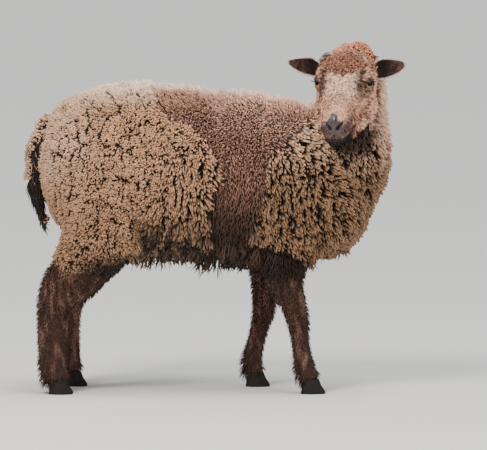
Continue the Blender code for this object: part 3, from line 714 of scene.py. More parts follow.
def sculpt_head(head):
    """Works the folds into the head: mouth, nostrils, philtrum, lids, tear lines and nose pad."""
    mesh = head.data
    points, normals = points_of(mesh), normals_of(mesh)
    f, l, u = in_head(points).T
    depth = np.zeros(len(points))
    above, reach = mouth_distance(f, u)
    depth -= 0.0030 * bell(above, 0.0013) * reach
    depth += 0.0012 * bell(above - 0.0042, 0.0030) * reach
    depth += 0.0010 * bell(above + 0.0040, 0.0026) * reach
    off, on_nose = nostril_distance(f, l, u)
    depth -= 0.0065 * bell(off, 0.0024) * on_nose
    depth += 0.0010 * bell(off - 0.0050, 0.0020) * on_nose
    front = smooth_step(0.122, 0.130, f)
    philtrum = 0.0016 * bell(l, 0.0012) * front
    depth -= philtrum * smooth_step(-0.014, -0.022, u) * smooth_step(-0.0415, -0.037, u)
    depth += 0.0012 * pad_share(f, l, u)
    for way in (-1, 1):
        x, y, z = in_eye(points, way)
        front = smooth_step(0.001, 0.006, y)
        socket = 0.0016 * bell(np.hypot(x / 1.12, z) - 0.0172, 0.0024)
        depth -= socket * front
        upper = 0.0010 * bell(np.hypot(x / 1.3, z - 0.001) - 0.0118, 0.0010)
        depth -= upper * front * smooth_step(-0.002, 0.003, z)
        lower = 0.0008 * bell(np.hypot(x / 1.35, z + 0.001) - 0.0105, 0.0010)
        depth -= lower * front * smooth_step(0.001, -0.003, z)
        side = smooth_step(0.010, 0.020, way * l)
        inner = np.hypot((f - 0.024) / 2.2, (u + 0.012 + (f - 0.024) * 0.35))
        depth -= 0.0024 * bell(inner, 0.0042) * side * front.clip(0.4, 1)
    cheek = smooth_step(0.020, 0.034, np.abs(l))
    fold = 0.0008 * bell(u + 0.030 + (f - 0.05) * 0.25, 0.0070) * cheek
    depth -= fold * smooth_step(0.02, 0.045, f) * smooth_step(0.09, 0.07, f)
    moved = points + normals * depth[:, None]
    mesh.vertices.foreach_set("co", moved.ravel())
    mesh.update()
    return head


def open_eyes(head):
    """Cuts the opening between the lids and the hollow that each eye fills."""
    for way in (-1, 1):
        centre, look = eye_place(way)
        bm = bmesh.new()
        ellipsoid(bm, centre, (EYE_RADIUS + 0.0003,) * 3, look, 48)
        combined(head, "DIFFERENCE", new_object("hollow", bm))
        bm = bmesh.new()
        front = centre + look.to_3x3() @ Vector((0, EYE_RADIUS * 0.95, -0.0004))
        ellipsoid(bm, front, (EYE_OPENING[0], EYE_RADIUS, EYE_OPENING[1]), look, 48)
        combined(head, "DIFFERENCE", new_object("opening", bm))
    return head


def eye_ring(points):
    """How near each place is to an eye, measured from the nearer one."""
    found = np.full(len(points), 1.0)
    for way in (-1, 1):
        x, y, z = in_eye(points, way)
        found = np.minimum(found, np.sqrt((x / 1.35) ** 2 + z**2 + (y - EYE_RADIUS) ** 2 * 0.5))
    return found


def head_parts(points):
    """Places in the head's frame, and how surely each one is on the skull and on an ear."""
    f, l, u = in_head(points).T
    rows = np.array(HEAD)
    top, bottom, half = (np.interp(np.minimum(f, 0.128), rows[:, 0], rows[:, k]) for k in (1, 2, 3))
    high = np.abs(2 * u - top - bottom) / (top - bottom)
    size = (high**HEAD_POWER + (np.abs(l) / half) ** HEAD_POWER) ** (1 / HEAD_POWER)
    low = smooth_step(-0.035, -0.065, u) * smooth_step(0.05, 0.02, f)
    skull = smooth_step(1.55 - 0.30 * low, 1.25 - 0.13 * low, size)
    skull = skull * smooth_step(-0.102, -0.088, f) * smooth_step(0.165, 0.155, f)
    reach = np.abs(l) - EAR_ROOT[1]
    off = np.hypot(f - EAR_ROOT[0] + 0.12 * reach, u - EAR_ROOT[2] - 0.03 * reach)
    ear = smooth_step(0.034, 0.028, off) * smooth_step(0.016, 0.024, reach)
    return f, l, u, skull, ear


def face_share(f, u, skull):
    """How surely a place has the face's short hair, and not wool."""
    return skull * smooth_step(-0.060, -0.048, f + 0.25 * np.minimum(u + 0.02, 0))


def cap_share(f, l, u, skull):
    """How surely a place lies under the curls of the poll and forehead."""
    edge = 0.022 - 22 * l**2 + 0.003 * np.sin(l * 420)
    return skull * smooth_step(0.003, -0.003, f - edge) * smooth_step(0.006, 0.014, u)


def pad_share(f, l, u):
    """The bare skin of the nose, wide between the nostrils and narrow above the lip."""
    wide = np.interp(u, (-0.029, -0.013, -0.006, 0.0, 0.006), (0.0035, 0.0172, 0.0178, 0.0135, 0.0060))
    inside = smooth_step(0.0015, -0.0015, np.abs(l) - wide)
    back = 0.1225 + 0.25 * np.maximum(np.abs(l) - 0.004, 0)
    return inside * smooth_step(-0.030, -0.027, u) * smooth_step(-0.0025, 0.0025, f - back)


def tail_dark(points):
    """Where the tail has its dark hair: all but its root and, high up, its rear edge, which are fleecy."""
    x, _, z = points.T
    rear = x - 0.6 * np.maximum(z - 0.455, 0)
    return (x < -0.326) & (z < 0.478) & ~((z > 0.405) & (rear < -0.345))


def leg_top(x, hind, front):
    """The height where the legs' short hair begins, which on the hind legs rises towards the hocks."""
    return np.where(x < LEGS_APART_X, hind + 1.6 * np.maximum(-0.285 - x, 0), front)


def paint_body(lay, points, normals):
    x, y, z = points.T
    fleece = old_fleece(points)
    up = normals[:, 2]
    # Painted shade: the new wool darkens low on the flanks and above the legs.
    lay("saddle_low", smooth_step(0.46, 0.31, z))
    # Painted highlight: the new wool lightens along the top of the back and on the withers.
    top = smooth_step(0.47, 0.55, z + 0.22 * np.maximum(x - 0.05, 0))
    lay("saddle_top", top * (0.30 + 0.70 * smooth_step(-0.03, 0.05, x)))
    # Painted shadow: a dark stripe on the saddle under the overhanging edge of the rump's fleece.
    beside = bell(ahead_of(points, RUMP_EDGE), 0.010)
    lay("saddle_low", 0.45 * (1 - fleece) * beside * smooth_step(0.46, 0.42, z))
    lay("fleece", fleece * smooth_step(0.10, 0.02, x))
    # Old fleece darker low on the body: partly its own tone, partly painted shade.
    lay("fleece_low", fleece * smooth_step(0.45, 0.33, z) * smooth_step(0.04, 0.0, x))
    patch = smooth_step(-0.20, 0.30, scatter_noise(points * np.array((1.0, 1.0, 0.5)), 0.024, 17))
    # hollow: where the belly's colour goes in patches, low on the flank between the legs: dark wool and
    # painted shade.
    hollow = smooth_step(0.375, 0.295, z) * smooth_step(-0.165, -0.140, x) * smooth_step(0.03, 0.0, x)
    # Bleached fleece with painted highlight on the rear of the rump.
    lay("bleached", 0.16 * fleece * smooth_step(-0.18, -0.30, x) * smooth_step(0.36, 0.46, z))
    lay("belly", fleece * hollow * (0.40 + 0.58 * patch))
    # Painted shade in the fold in front of the thigh, in the throat's colour.
    lay("throat", 0.95 * fleece * bell(np.hypot((x + 0.131) / 0.010, (z - 0.304) / 0.020), 1.0))
    lay("mane", fleece * smooth_step(0.02, 0.10, x))
    lay("ruff", fleece * smooth_step(0.05, 0.12, x) * smooth_step(0.40, 0.52, z))
    # Bleached fleece and painted highlight where the top of the rump faces up, and painted highlight on the
    # new wool where it faces straight up.
    back = smooth_step(0.530, 0.590, z) * smooth_step(0.02, -0.02, x) * smooth_step(0.2, 0.7, up)
    lay("bleached", fleece * back)
    lay("bleached", (1 - fleece) * 0.75 * smooth_step(0.545, 0.566, z) * smooth_step(0.94, 0.99, up))
    # Painted shade on the downward-facing underside of the belly.
    lay("belly", smooth_step(0.290, 0.250, z) * smooth_step(0.2, -0.5, up))
    top = leg_top(x, 0.226, 0.222)
    on_leg = smooth_step(top + 0.010, top - 0.010, z)
    lay("leg", on_leg)
    gleam = smooth_step(-0.2, 0.8, scatter_noise(points * np.array((1.0, 1.0, 0.4)), 0.020, 23))
    lay("saddle", 0.32 * on_leg * gleam * smooth_step(0.02, 0.06, z))
    behind = smooth_step(0.034, 0.026, np.abs(y - MIDLINE_Y))
    lay("tail", behind * tail_dark(points) * smooth_step(0.26, 0.30, z))


def paint_head(lay, points, normals, f, l, u, skull, face):
    lay("topknot", skull * smooth_step(-0.030, 0.010, u))
    lay("topknot_top", skull * smooth_step(-0.044, -0.056, f) * smooth_step(0.012, 0.030, u))
    groove = bell(f + 0.050, 0.0045) * smooth_step(0.004, 0.012, l) * smooth_step(0.006, 0.014, u)
    lay("mask", 0.8 * skull * groove)
    # Painted shade under the jaw, in the throat's colour.
    under = smooth_step(0.052, 0.030, np.abs(l))
    under = under * smooth_step(-0.150, -0.120, u) * smooth_step(-0.055, -0.075, u)
    lay("throat", under * 0.93 * smooth_step(-0.075, -0.040, f) * smooth_step(0.10, 0.06, f))
    lay("face", face)
    # Painted shade where the face turns downwards under the jaw.
    crown = normals @ np.array(from_head((0, 0, 1)))
    jaw = smooth_step(-0.40, -0.80, crown) * smooth_step(-0.030, -0.045, u)
    lay("throat", face * jaw * smooth_step(0.115, 0.09, f))
    ragged = 0.004 * scatter_noise(points, 0.016, 7)
    edge = np.abs(l) + 0.12 * np.maximum(f - 0.06, 0) + ragged
    bridge = smooth_step(0.036, 0.022, edge) * smooth_step(-0.006, 0.008, u + ragged)
    lay("blaze", face * 0.95 * bridge * smooth_step(0.100, 0.055, f))
    lay("muzzle", face * 0.92 * smooth_step(0.085, 0.122, f + ragged) * smooth_step(0.000, -0.018, u))
    # Dark skin and painted shade in the groove of the philtrum.
    philtrum = bell(l, 0.0011) * smooth_step(0.122, 0.130, f) * smooth_step(-0.026, -0.030, u)
    lay("lip", face * philtrum * smooth_step(-0.0415, -0.037, u))
    lay("mask", face * 0.75 * smooth_step(0.019, 0.012, eye_ring(points)))
    tear = bell(np.abs(l) - 0.0345, 0.0065) * smooth_step(-0.014, 0.000, f) * smooth_step(0.056, 0.036, f)
    lay("mask", face * 0.9 * tear * smooth_step(-0.030, -0.015, u))
    lay("topknot", cap_share(f, l, u, skull) * smooth_step(-0.058, -0.046, f))


def paint_ears(lay, points, normals, l, u, ear):
    lay("face", ear)
    cup = smooth_step(0.0, 0.35, normals @ np.array(from_head((1, 0, 0))))
    reach = (np.abs(l) - EAR_ROOT[1]) / np.where(l > 0, EAR_LONGER[1], EAR_LONGER[-1])
    streak = 0.15 * scatter_noise(points * np.array((0.25, 1.0, 1.0)), 0.004, 19)
    lay("ear_inside", ear * cup * np.clip(0.93 + streak, 0, 1))
    # Dark skin and painted shade deep in the ear's cup, near its root.
    lay("ear_deep", ear * cup * smooth_step(0.058, 0.030, reach + 0.06 * streak))
    reaches, halves = np.array(EAR)[:, :2].T
    half = np.interp(reach, reaches, halves)
    wider = np.where(l > 0, EAR_WIDER[1], EAR_WIDER[-1])
    from_middle = np.abs(u - EAR_ROOT[2] - 0.03 * reach + wider * half) / (half * (1 + wider))
    lay("ear_rim", ear * smooth_step(0.76, 0.88, from_middle))


def paint_features(lay, points, f, l, u, face):
    """Mouth, nose and lids, over all the rest."""
    above, stretch = mouth_distance(f, u)
    lay("throat", face * 0.9 * smooth_step(0.085, 0.105, f) * smooth_step(0.0, -0.006, above))
    # Dark lips, with painted shadow in the line of the mouth under the upper lip.
    lay("lip", face * stretch * (bell(above, 0.0034) + 0.5 * bell(above + 0.007, 0.007)))
    gleam = bell(above - 0.0060, 0.0016) * smooth_step(0.014, 0.020, l) * smooth_step(0.085, 0.095, f)
    lay("blaze", face * 0.25 * gleam)
    off, on_nose = nostril_distance(f, l, u)
    lay("nose", face * pad_share(f, l, u))
    # Painted shade in the slits of the nostrils, in the lips' dark colour.
    lay("lip", face * on_nose * bell(off, 0.0026))
    lay("lip", face * smooth_step(0.0100, 0.0084, eye_ring(points)))
    for way in (-1, 1):
        along, out, rise = in_eye(points, way)
        lid = bell(rise - 0.0068 + 45 * along**2, 0.0024) * smooth_step(0.016, 0.012, np.abs(along))
        lay("lip", face * 0.95 * lid * (out > 0))
        under = bell(rise + 0.0072 - 25 * along**2, 0.0009) * (np.abs(along) < 0.011)
        lay("blaze", face * 0.4 * under * (out > 0))


def coat_colour(points, normals):
    """The markings, with painted shade and highlight among them: one colour for each place, the same for the
    skin and for the coat that grows on it.
    """
    tint = tints()
    shades = np.tile(np.array(tint.saddle), (len(points), 1))

    def lay(name, share):
        nonlocal shades
        shades = shades + (np.array(getattr(tint, name)) - shades) * np.clip(share, 0, 1)[:, None]

    f, l, u, skull, ear = head_parts(points)
    face = face_share(f, u, skull)
    paint_body(lay, points, normals)
    paint_head(lay, points, normals, f, l, u, skull, face)
    paint_ears(lay, points, normals, l, u, ear)
    paint_features(lay, points, f, l, u, face)
    return shades


def mark(mesh, name, colours):
    attribute = mesh.color_attributes.new(name, "FLOAT_COLOR", "POINT")
    data = np.ones((len(mesh.vertices), 4), np.float32)
    data[:, : colours.shape[1]] = colours
    attribute.data.foreach_set("color", data.ravel())


class Wire:
    """A socket of a material, with arithmetic that adds Math nodes."""

    def __init__(self, tree, socket):
        self.tree = tree
        self.socket = socket

    def maths(self, operation, *values):
        sockets = {f"_{place}": value for place, value in enumerate(values or (self,))}
        return add_node(self.tree, "ShaderNodeMath", {"operation": operation}, **sockets)

    def __add__(self, other):
        return self.maths("ADD", self, other)

    def __radd__(self, other):
        return self.maths("ADD", other, self)

    def __sub__(self, other):
        return self.maths("SUBTRACT", self, other)

    def __rsub__(self, other):
        return self.maths("SUBTRACT", other, self)

    def __mul__(self, other):
        return self.maths("MULTIPLY", self, other)

    def __rmul__(self, other):
        return self.maths("MULTIPLY", other, self)

    def __truediv__(self, other):
        return self.maths("DIVIDE", self, other)

    def __pow__(self, other):
        return self.maths("POWER", self, other)

    def __abs__(self):
        return self.maths("ABSOLUTE")

    def ramp(self, low, high):
        """0 below low and 1 above high, smoothly."""
        settings = {"interpolation_type": "SMOOTHSTEP"}
        return add_node(self.tree, "ShaderNodeMapRange", settings, Value=self, From_Min=low, From_Max=high)


def add_node(tree, kind, settings=None, output=0, **sockets):
    """Adds a node: its settings, then values or wires for its sockets by name or, as _0, by number.

    Gives the wire of one output, or with output None the wires of all.
    """
    node = tree.nodes.new(kind)
    for key, value in (settings or {}).items():
        setattr(node, key, value)
    for key, value in sockets.items():
        socket = node.inputs[int(key[1:])] if key[0] == "_" else node.inputs[key.replace("_", " ")]
        if isinstance(value, Wire):
            tree.links.new(value.socket, socket)
        else:
            socket.default_value = value
    wires = [Wire(tree, socket) for socket in node.outputs]
    return wires if output is None else wires[output]


class Finish:
    """A material with one Principled shader and the few nodes that feed it."""

    def __init__(self, name, **settings):
        self.material = bpy.data.materials.new(name)
        self.material.use_nodes = True
        self.tree = self.material.node_tree
        self.shader = self.tree.nodes["Principled BSDF"]
        for socket, value in settings.items():
            self.shader.inputs[socket.replace("_", " ")].default_value = value

    def node(self, kind, settings=None, output=0, **sockets):
        return add_node(self.tree, kind, settings, output, **sockets)

    def mix(self, factor, first, second):
        settings = {"data_type": "RGBA", "clamp_factor": True}
        return self.node("ShaderNodeMix", settings, 2, _0=factor, _6=first, _7=second)

    def shaded(self, marking, share):
        return self.node("ShaderNodeVectorMath", {"operation": "SCALE"}, Vector=marking, Scale=share)

    def place(self):
        return self.node("ShaderNodeTexCoord", output=3)

    def noise(self, scale, detail=3.0, vector=None):
        vector = vector or self.place()
        return self.node("ShaderNodeTexNoise", Vector=vector, Scale=scale, Detail=detail, Roughness=0.55)

    def bands(self, scale, distortion):
        settings = {"bands_direction": "Z"}
        vector = self.place()
        return self.node("ShaderNodeTexWave", settings, Vector=vector, Scale=scale, Distortion=distortion)

    def attribute(self, name, output=0):
        return self.node("ShaderNodeAttribute", {"attribute_name": name}, output)

    def feed(self, **sockets):
        for key, value in sockets.items():
            self.tree.links.new(value.socket, self.shader.inputs[key.replace("_", " ")])

    def bump(self, height, distance, strength):
        self.feed(Normal=self.node("ShaderNodeBump", Height=height, Distance=distance, Strength=strength))


def rgba(tint, scale=1.0):
    return (*(min(c * scale, 1.0) for c in tint), 1.0)


def skin_finish():
    finish = Finish("skin_and_short_hair", Roughness=0.62, Specular_IOR_Level=0.28, Coat_Roughness=0.22)
    coarse = finish.noise(95.0, 4.0)
    fine = finish.noise(620.0, 2.0)
    speckle = finish.noise(330.0, 2.0)
    shade = 0.66 + coarse * 0.40 + (fine - 0.5) * 0.8 + (speckle - 0.5) * 2.0
    marking = finish.shaded(finish.attribute("marks_and_painted_light"), shade)
    wool = finish.attribute("wool", 2)
    # Under the wool and curls the skin takes on the roots' dark colour: painted shade under the coat.
    finish.feed(Base_Color=finish.mix(wool * 0.85, marking, rgba(tints().root, 0.6)))
    bare = finish.attribute("bare", 2)
    finish.feed(Roughness=0.74 - bare * 0.40 + (fine - 0.5) * 0.1, Coat_Weight=bare * 0.55)
    cells = {"feature": "DISTANCE_TO_EDGE"}
    pebble = finish.node("ShaderNodeTexVoronoi", cells, Vector=finish.place(), Scale=520.0)
    height = fine * (1.0 - bare) * 0.8 + pebble * bare * 0.5
    finish.bump(height, 0.0012, 0.8)
    return finish.material


def coat_finish(name, root_share, roughness=0.85, sheen=0.08, grizzle=0.42, patchy=0.34, speckle=0.5):
    """Hair or wool: dark at the root as painted shade deep in the coat, its marking's colour towards the tip
    with a little painted highlight, and varied from tuft to tuft.

    root_share is where along a tuft the dark root of painted shade starts and ends to fade. grizzle and
    patchy are how much lighter or darker single tufts and whole clumps are, and speckle is the same within a
    tuft.
    """
    finish = Finish(
        name, Roughness=roughness, Sheen_Weight=sheen, Sheen_Roughness=0.5, Specular_IOR_Level=0.25
    )
    tuft = finish.attribute("tuft")
    along, random, clump = finish.node("ShaderNodeSeparateColor", output=None, Color=tuft)
    fine = finish.noise(430.0, 3.0)
    even = 0.95 - grizzle / 2 - patchy / 2
    shade = even + random * grizzle + clump * patchy + (fine - 0.5) * speckle + along * 0.16
    tip = finish.shaded(finish.attribute("marks_and_painted_light"), shade)
    finish.feed(Base_Color=finish.mix(along.ramp(*root_share), rgba(tints().root), tip))
    finish.feed(Roughness=roughness + (fine - 0.5) * 0.12)
    finish.bump(finish.noise(900.0, 2.0), 0.0006, 0.5)
    return finish.material


def skin_map(thing):
    """An unwrap of the skin's own shape, kept as a tree of its faces and their corners in the unwrap."""
    light = thing.copy()
    light.data = thing.data.copy()
    light.name = "unwrapped"
    bpy.context.scene.collection.objects.link(light)
    fewer = light.modifiers.new("fewer", "DECIMATE")
    fewer.ratio = 0.06
    applied(light)
    mesh = light.data
    mesh.uv_layers.new(name="OFBake")
    bpy.ops.object.select_all(action="DESELECT")
    light.select_set(True)
    bpy.context.view_layer.objects.active = light
    bpy.ops.object.mode_set(mode="EDIT")
    bpy.ops.mesh.select_all(action="SELECT")
    bpy.ops.uv.smart_project(angle_limit=math.radians(66), island_margin=0.002)
    bpy.ops.object.mode_set(mode="OBJECT")
    mesh.calc_loop_triangles()
    corners = np.array([tri.vertices for tri in mesh.loop_triangles])
    loops = np.array([tri.loops for tri in mesh.loop_triangles])
    flat = read(mesh.uv_layers["OFBake"].data, "uv", width=2)
    points = points_of(mesh)
    tree = BVHTree.FromPolygons([Vector(p) for p in points], [tuple(map(int, c)) for c in corners])
    MADE["map"] = (tree, points[corners], flat[loops])
    bpy.data.objects.remove(light)


def mapped(roots):
    """The place of each root on the unwrap."""
    tree, corners, flat = MADE["map"]
    found = np.array([tree.find_nearest(Vector(root))[2] for root in roots])
    first, second, third = (corners[found, i] for i in range(3))
    a, b, c = second - first, third - first, roots - first
    aa, ab, bb = (a * a).sum(1), (a * b).sum(1), (b * b).sum(1)
    ca, cb = (c * a).sum(1), (c * b).sum(1)
    size = np.maximum(aa * bb - ab * ab, 1e-18)
    v = np.clip((bb * ca - ab * cb) / size, 0, 1)
    w = np.clip((aa * cb - ab * ca) / size, 0, 1 - v)
    uv = flat[found]
    return uv[:, 0] * (1 - v - w)[:, None] + uv[:, 1] * v[:, None] + uv[:, 2] * w[:, None]


def roots_on(count, wanted, draw):
    """About count places spread over the wanted part of the skin, their normals, and the room of each."""
    centres, normals, areas, corners = MADE["faces"]
    share = wanted(centres, normals) * areas
    total = share.sum()
    expected = share * count / total
    whole = np.floor(expected + draw.random(len(expected))).astype(int)
    chosen = np.repeat(np.arange(len(centres)), whole)
    mix = draw.random((len(chosen), 2))
    a, b = mix[:, :1], mix[:, 1:]
    quad = corners[chosen]
    points = (quad[:, 0] * (1 - a) + quad[:, 1] * a) * (1 - b) + (quad[:, 3] * (1 - a) + quad[:, 2] * a) * b
    return points, normals[chosen], total / count


def tree_of(points):
    tree = KDTree(len(points))
    for i, point in enumerate(points):
        tree.insert(point, i)
    tree.balance()
    return tree


def group_middles(points, owner, middles):
    """The mean place of each group's points, or its old middle where it has none."""
    members = np.bincount(owner, minlength=len(middles))[:, None]
    sums = np.stack([np.bincount(owner, points[:, k], len(middles)) for k in range(3)], axis=1)
    return np.where(members > 0, sums / np.maximum(members, 1), middles)


def even_roots(count, wanted, draw, squash, keep):
    """About count places on the wanted part, evenly apart, and closer across than up where squash is below 1.

    keep gives each place's chance to stay, and so leaves creases free.
    """
    points, normals, room = roots_on(count * ROOTS_TRIED, wanted, draw)
    stays = draw.random(len(points)) < keep(points)
    points, normals = points[stays], normals[stays]
    flat = points * np.array((1.0, 1.0, squash))
    middles = flat[draw.permutation(len(points))[:count]]
    for _ in range(3):
        tree = tree_of(middles)
        owner = np.array([tree.find(point)[1] for point in flat])
        middles = group_middles(flat, owner, middles)
    tree = tree_of(flat)
    chosen = np.unique([tree.find(middle)[1] for middle in middles])
    return points[chosen], normals[chosen], room * ROOTS_TRIED


def creases(points, scale, squash, seed):
    """A winding network of creases: how far each place is from one, from 0, and the way out of it."""
    flatter = np.array((1.0, 1.0, squash))
    step = scale * 0.05
    here = scatter_noise(points * flatter, scale, seed)
    slopes = [scatter_noise((points + step * axis) * flatter, scale, seed) - here for axis in np.eye(3)]
    return np.abs(here), unit(np.stack(slopes, axis=1)) * np.sign(here)[:, None]


def unit(vectors):
    return vectors / np.maximum(np.linalg.norm(vectors, axis=1, keepdims=True), 1e-12)


def scatter_noise(points, scale, seed):
    """Smooth random numbers in -1..1 over space, as a sum of a few waves."""
    draw = np.random.default_rng(seed)
    total = np.zeros(len(points))
    for _ in range(7):
        way = draw.normal(size=3)
        way = way / np.linalg.norm(way) / scale * draw.uniform(0.6, 1.5)
        total += np.sin(points @ way * 2 * math.pi + draw.uniform(0, 2 * math.pi))
    return total / 3.2


def gathered(roots, room, size, seed, squash=1.0):
    """Sorts roots into clumps about size across, and taller than that where squash is below 1.

    room is the area that each root has to itself. For each root this finds the way to its clump's middle,
    no longer than size, a random number that its clump shares, and how far it is from the next clump.
    """
    draw = np.random.default_rng(seed)
    middles = roots[draw.random(len(roots)) < room * squash / size**2]
    flatter = np.array((1.0, 1.0, squash))
    for _ in range(2):
        tree = tree_of(middles * flatter)
        nearest = [tree.find_n(root, 2) for root in roots * flatter]
        owner = np.array([found[0][1] for found in nearest])
        border = np.array([found[1][2] - found[0][2] for found in nearest])
        middles = group_middles(roots, owner, middles)
    way = middles[owner] - roots
    way *= np.minimum(1, size / np.maximum(np.linalg.norm(way, axis=1), 1e-9))[:, None]
    return way, draw.random(len(middles))[owner], border


def sown(count, wanted, seed, clump_size, clump_seed):
    """Spreads roots and gathers them: the draws, roots, normals, ways to their clumps and clumps' numbers."""
    draw = np.random.default_rng(seed)
    roots, normals, room = roots_on(count, wanted, draw)
    middle, clump, _ = gathered(roots, room, clump_size, clump_seed)
    return draw, roots, normals, middle, clump


def wool_profile(share):
    return 0.72 + 0.42 * math.sin(math.pi * min(share * 0.95, 1.0)) + 0.10 * share


def nub_profile(share):
    return 0.55 + 0.62 * math.sin(math.pi * 0.8 * share)


def lock_profile(share):
    return 1.0 + 0.2 * share - 0.75 * share**3


def hair_profile(share):
    return 1.0 - 0.70 * share


def tuft_rings(shares, roots, normal, lies, size, lean, curl, depth, vary, profile, pull, draw):
    """The places of each tuft's rings, which are at these shares of its length, and of its tip."""
    count = len(roots)
    long, wide, thick = size
    radius, turns = curl
    lie = unit(lies - normal * (lies * normal).sum(1, keepdims=True))
    across = np.cross(normal, lie)
    phase = draw.uniform(0, 2 * math.pi, count)
    spin = np.where(draw.random(count) < 0.5, -1.0, 1.0)
    lean_vary = draw.normal(0, vary[0], count)
    side_vary = draw.normal(0, vary[1], count)
    pull = pull - normal * (pull * normal).sum(1, keepdims=True)
    centre = roots - normal * depth
    verts = np.empty((count, len(shares) - 1, TUFT_SIDES, 3))
    for ring, share in enumerate(shares[:-1]):
        angle = lean[0] + (lean[1] - lean[0]) * share**0.8 + lean_vary * (0.4 + share)
        heading = normal * np.cos(angle)[:, None] + lie * np.sin(angle)[:, None]
        heading = unit(heading + across * (side_vary * (0.3 + share))[:, None])
        out = unit(np.cross(across, heading)) * -1.0
        sideways = np.cross(heading, out)
        wound = phase + spin * turns * 2 * math.pi * share
        sway = radius * share**0.7
        offset = sideways * (np.cos(wound) * sway)[:, None] + out * (np.sin(wound) * sway)[:, None]
        offset = offset + pull * share**1.2
        swell = profile(share)
        for k in range(TUFT_SIDES):
            turn = k * 2 * math.pi / TUFT_SIDES
            arm = sideways * (math.cos(turn) * wide * swell / 2)[:, None]
            arm = arm + out * (math.sin(turn) * thick * swell / 2)[:, None]
            verts[:, ring, k] = centre + offset + arm
        centre = centre + heading * (long * (shares[ring + 1] - share))[:, None]
    tips = centre + offset
    for heights in (verts[..., 2], tips[:, 2]):
        np.maximum(heights, LOWEST, out=heights)
    return verts, tips


def tuft_mesh(name, points, count, rings):
    """A mesh of closed tufts, whose points come tuft by tuft and ring by ring, each with its tip last."""
    per = TUFT_SIDES * rings + 1
    quads = []
    for ring in range(rings - 1):
        for k in range(TUFT_SIDES):
            a, b = ring * TUFT_SIDES + k, ring * TUFT_SIDES + (k + 1) % TUFT_SIDES
            quads.append((a, b, b + TUFT_SIDES, a + TUFT_SIDES))
    last = (rings - 1) * TUFT_SIDES
    ends = [(last + k, last + (k + 1) % TUFT_SIDES, per - 1) for k in range(TUFT_SIDES)]
    caps = [tuple(range(TUFT_SIDES - 1, -1, -1))]
    shift = (np.arange(count) * per)[:, None, None]
    faces = [(np.array(group)[None] + shift).reshape(-1, len(group[0])) for group in (quads, ends, caps)]
    corners_each = np.concatenate([np.full(len(group), group.shape[1]) for group in faces])
    corners = np.concatenate([group.ravel() for group in faces])
    mesh = bpy.data.meshes.new(name)
    mesh.vertices.add(len(points))
    mesh.vertices.foreach_set("co", points.ravel().astype(np.float32))
    mesh.loops.add(len(corners))
    mesh.loops.foreach_set("vertex_index", corners.astype(np.int32))
    mesh.polygons.add(len(corners_each))
    starts = np.concatenate([[0], np.cumsum(corners_each)[:-1]])
    mesh.polygons.foreach_set("loop_start", starts.astype(np.int32))
    mesh.update(calc_edges=True)
    mesh.shade_smooth()
    return mesh, corners


def tufts(
    name, seed, material, roots, normals, lies, size, lean, curl, depth, vary,
    rings=2, last=0.62, profile=hair_profile, pull=0.0, dark=1.0, light=None, clump=0.0, colours=None,
):
    """Joins one tapered, closed tuft for each root into pieces under the limit of triangles.

    size is each tuft's length, width and thickness, lean its angles from the normal at root and tip, curl
    the radius and turns of its winding, depth how far its root is sunk, and vary how much lean and side
    differ. Its rings spread up to the share last of its length, and its width there is the profile's.
    pull draws its tip aside. dark above 1 lengthens its dark root, which is painted shade, light is its own
    brightness, drawn at random unless given (in the old fleece it is darkened in creases and cracks as
    painted shade), and clump its clump's.
    """
    draw = np.random.default_rng(seed)
    count = len(roots)
    normal = unit(normals)
    shares = [*np.linspace(0, last, rings), 1.0]
    pull = np.broadcast_to(pull, (count, 3))
    form = (lean, curl, depth, vary, profile, pull, draw)
    verts, tips = tuft_rings(shares, roots, normal, lies, size, *form)
    alongs = np.stack([np.broadcast_to(share**dark, count) for share in shares[:-1]], axis=1)
    if colours is None:
        colours = coat_colour(roots, normal)
    random = draw.random(count) * 0.35
    random = random + 0.65 * (draw.random(count) if light is None else light)
    clump = np.broadcast_to(clump, count)
    flat = mapped(roots)
    per = TUFT_SIDES * rings + 1
    triangles = TUFT_SIDES * (rings - 1) * 2 + TUFT_SIDES + TUFT_SIDES - 2
    most = MOST_TRIANGLES // triangles
    turn_share = np.concatenate([np.tile(np.arange(TUFT_SIDES) / TUFT_SIDES - 0.5, rings), [0.0]])
    for number, start in enumerate(range(0, count, most)):
        part = slice(start, min(start + most, count))
        total = part.stop - part.start
        points = np.concatenate([verts[part].reshape(total, -1, 3), tips[part][:, None]], axis=1)
        mesh, corners = tuft_mesh(name, points.reshape(-1, 3), total, rings)
        mark(mesh, "marks_and_painted_light", np.repeat(colours[part], per, axis=0))
        share = np.concatenate([np.repeat(alongs[part], TUFT_SIDES, axis=1), np.ones((total, 1))], axis=1)
        share = share.ravel()
        data = np.stack([share, np.repeat(random[part], per), np.repeat(clump[part], per)], axis=1)
        mark(mesh, "tuft", data)
        place = np.repeat(flat[part], per, axis=0)
        place[:, 0] += np.tile(turn_share, total) * PATCH
        place[:, 1] += (share - 0.5) * PATCH
        layer = mesh.uv_layers.new(name="OFBake")
        layer.data.foreach_set("uv", np.clip(place, 0, 1)[corners].ravel().astype(np.float32))
        thing = bpy.data.objects.new(f"{name}_{number + 1}" if count > most else name, mesh)
        bpy.context.scene.collection.objects.link(thing)
        mesh.materials.append(material)
        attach(thing, "root")


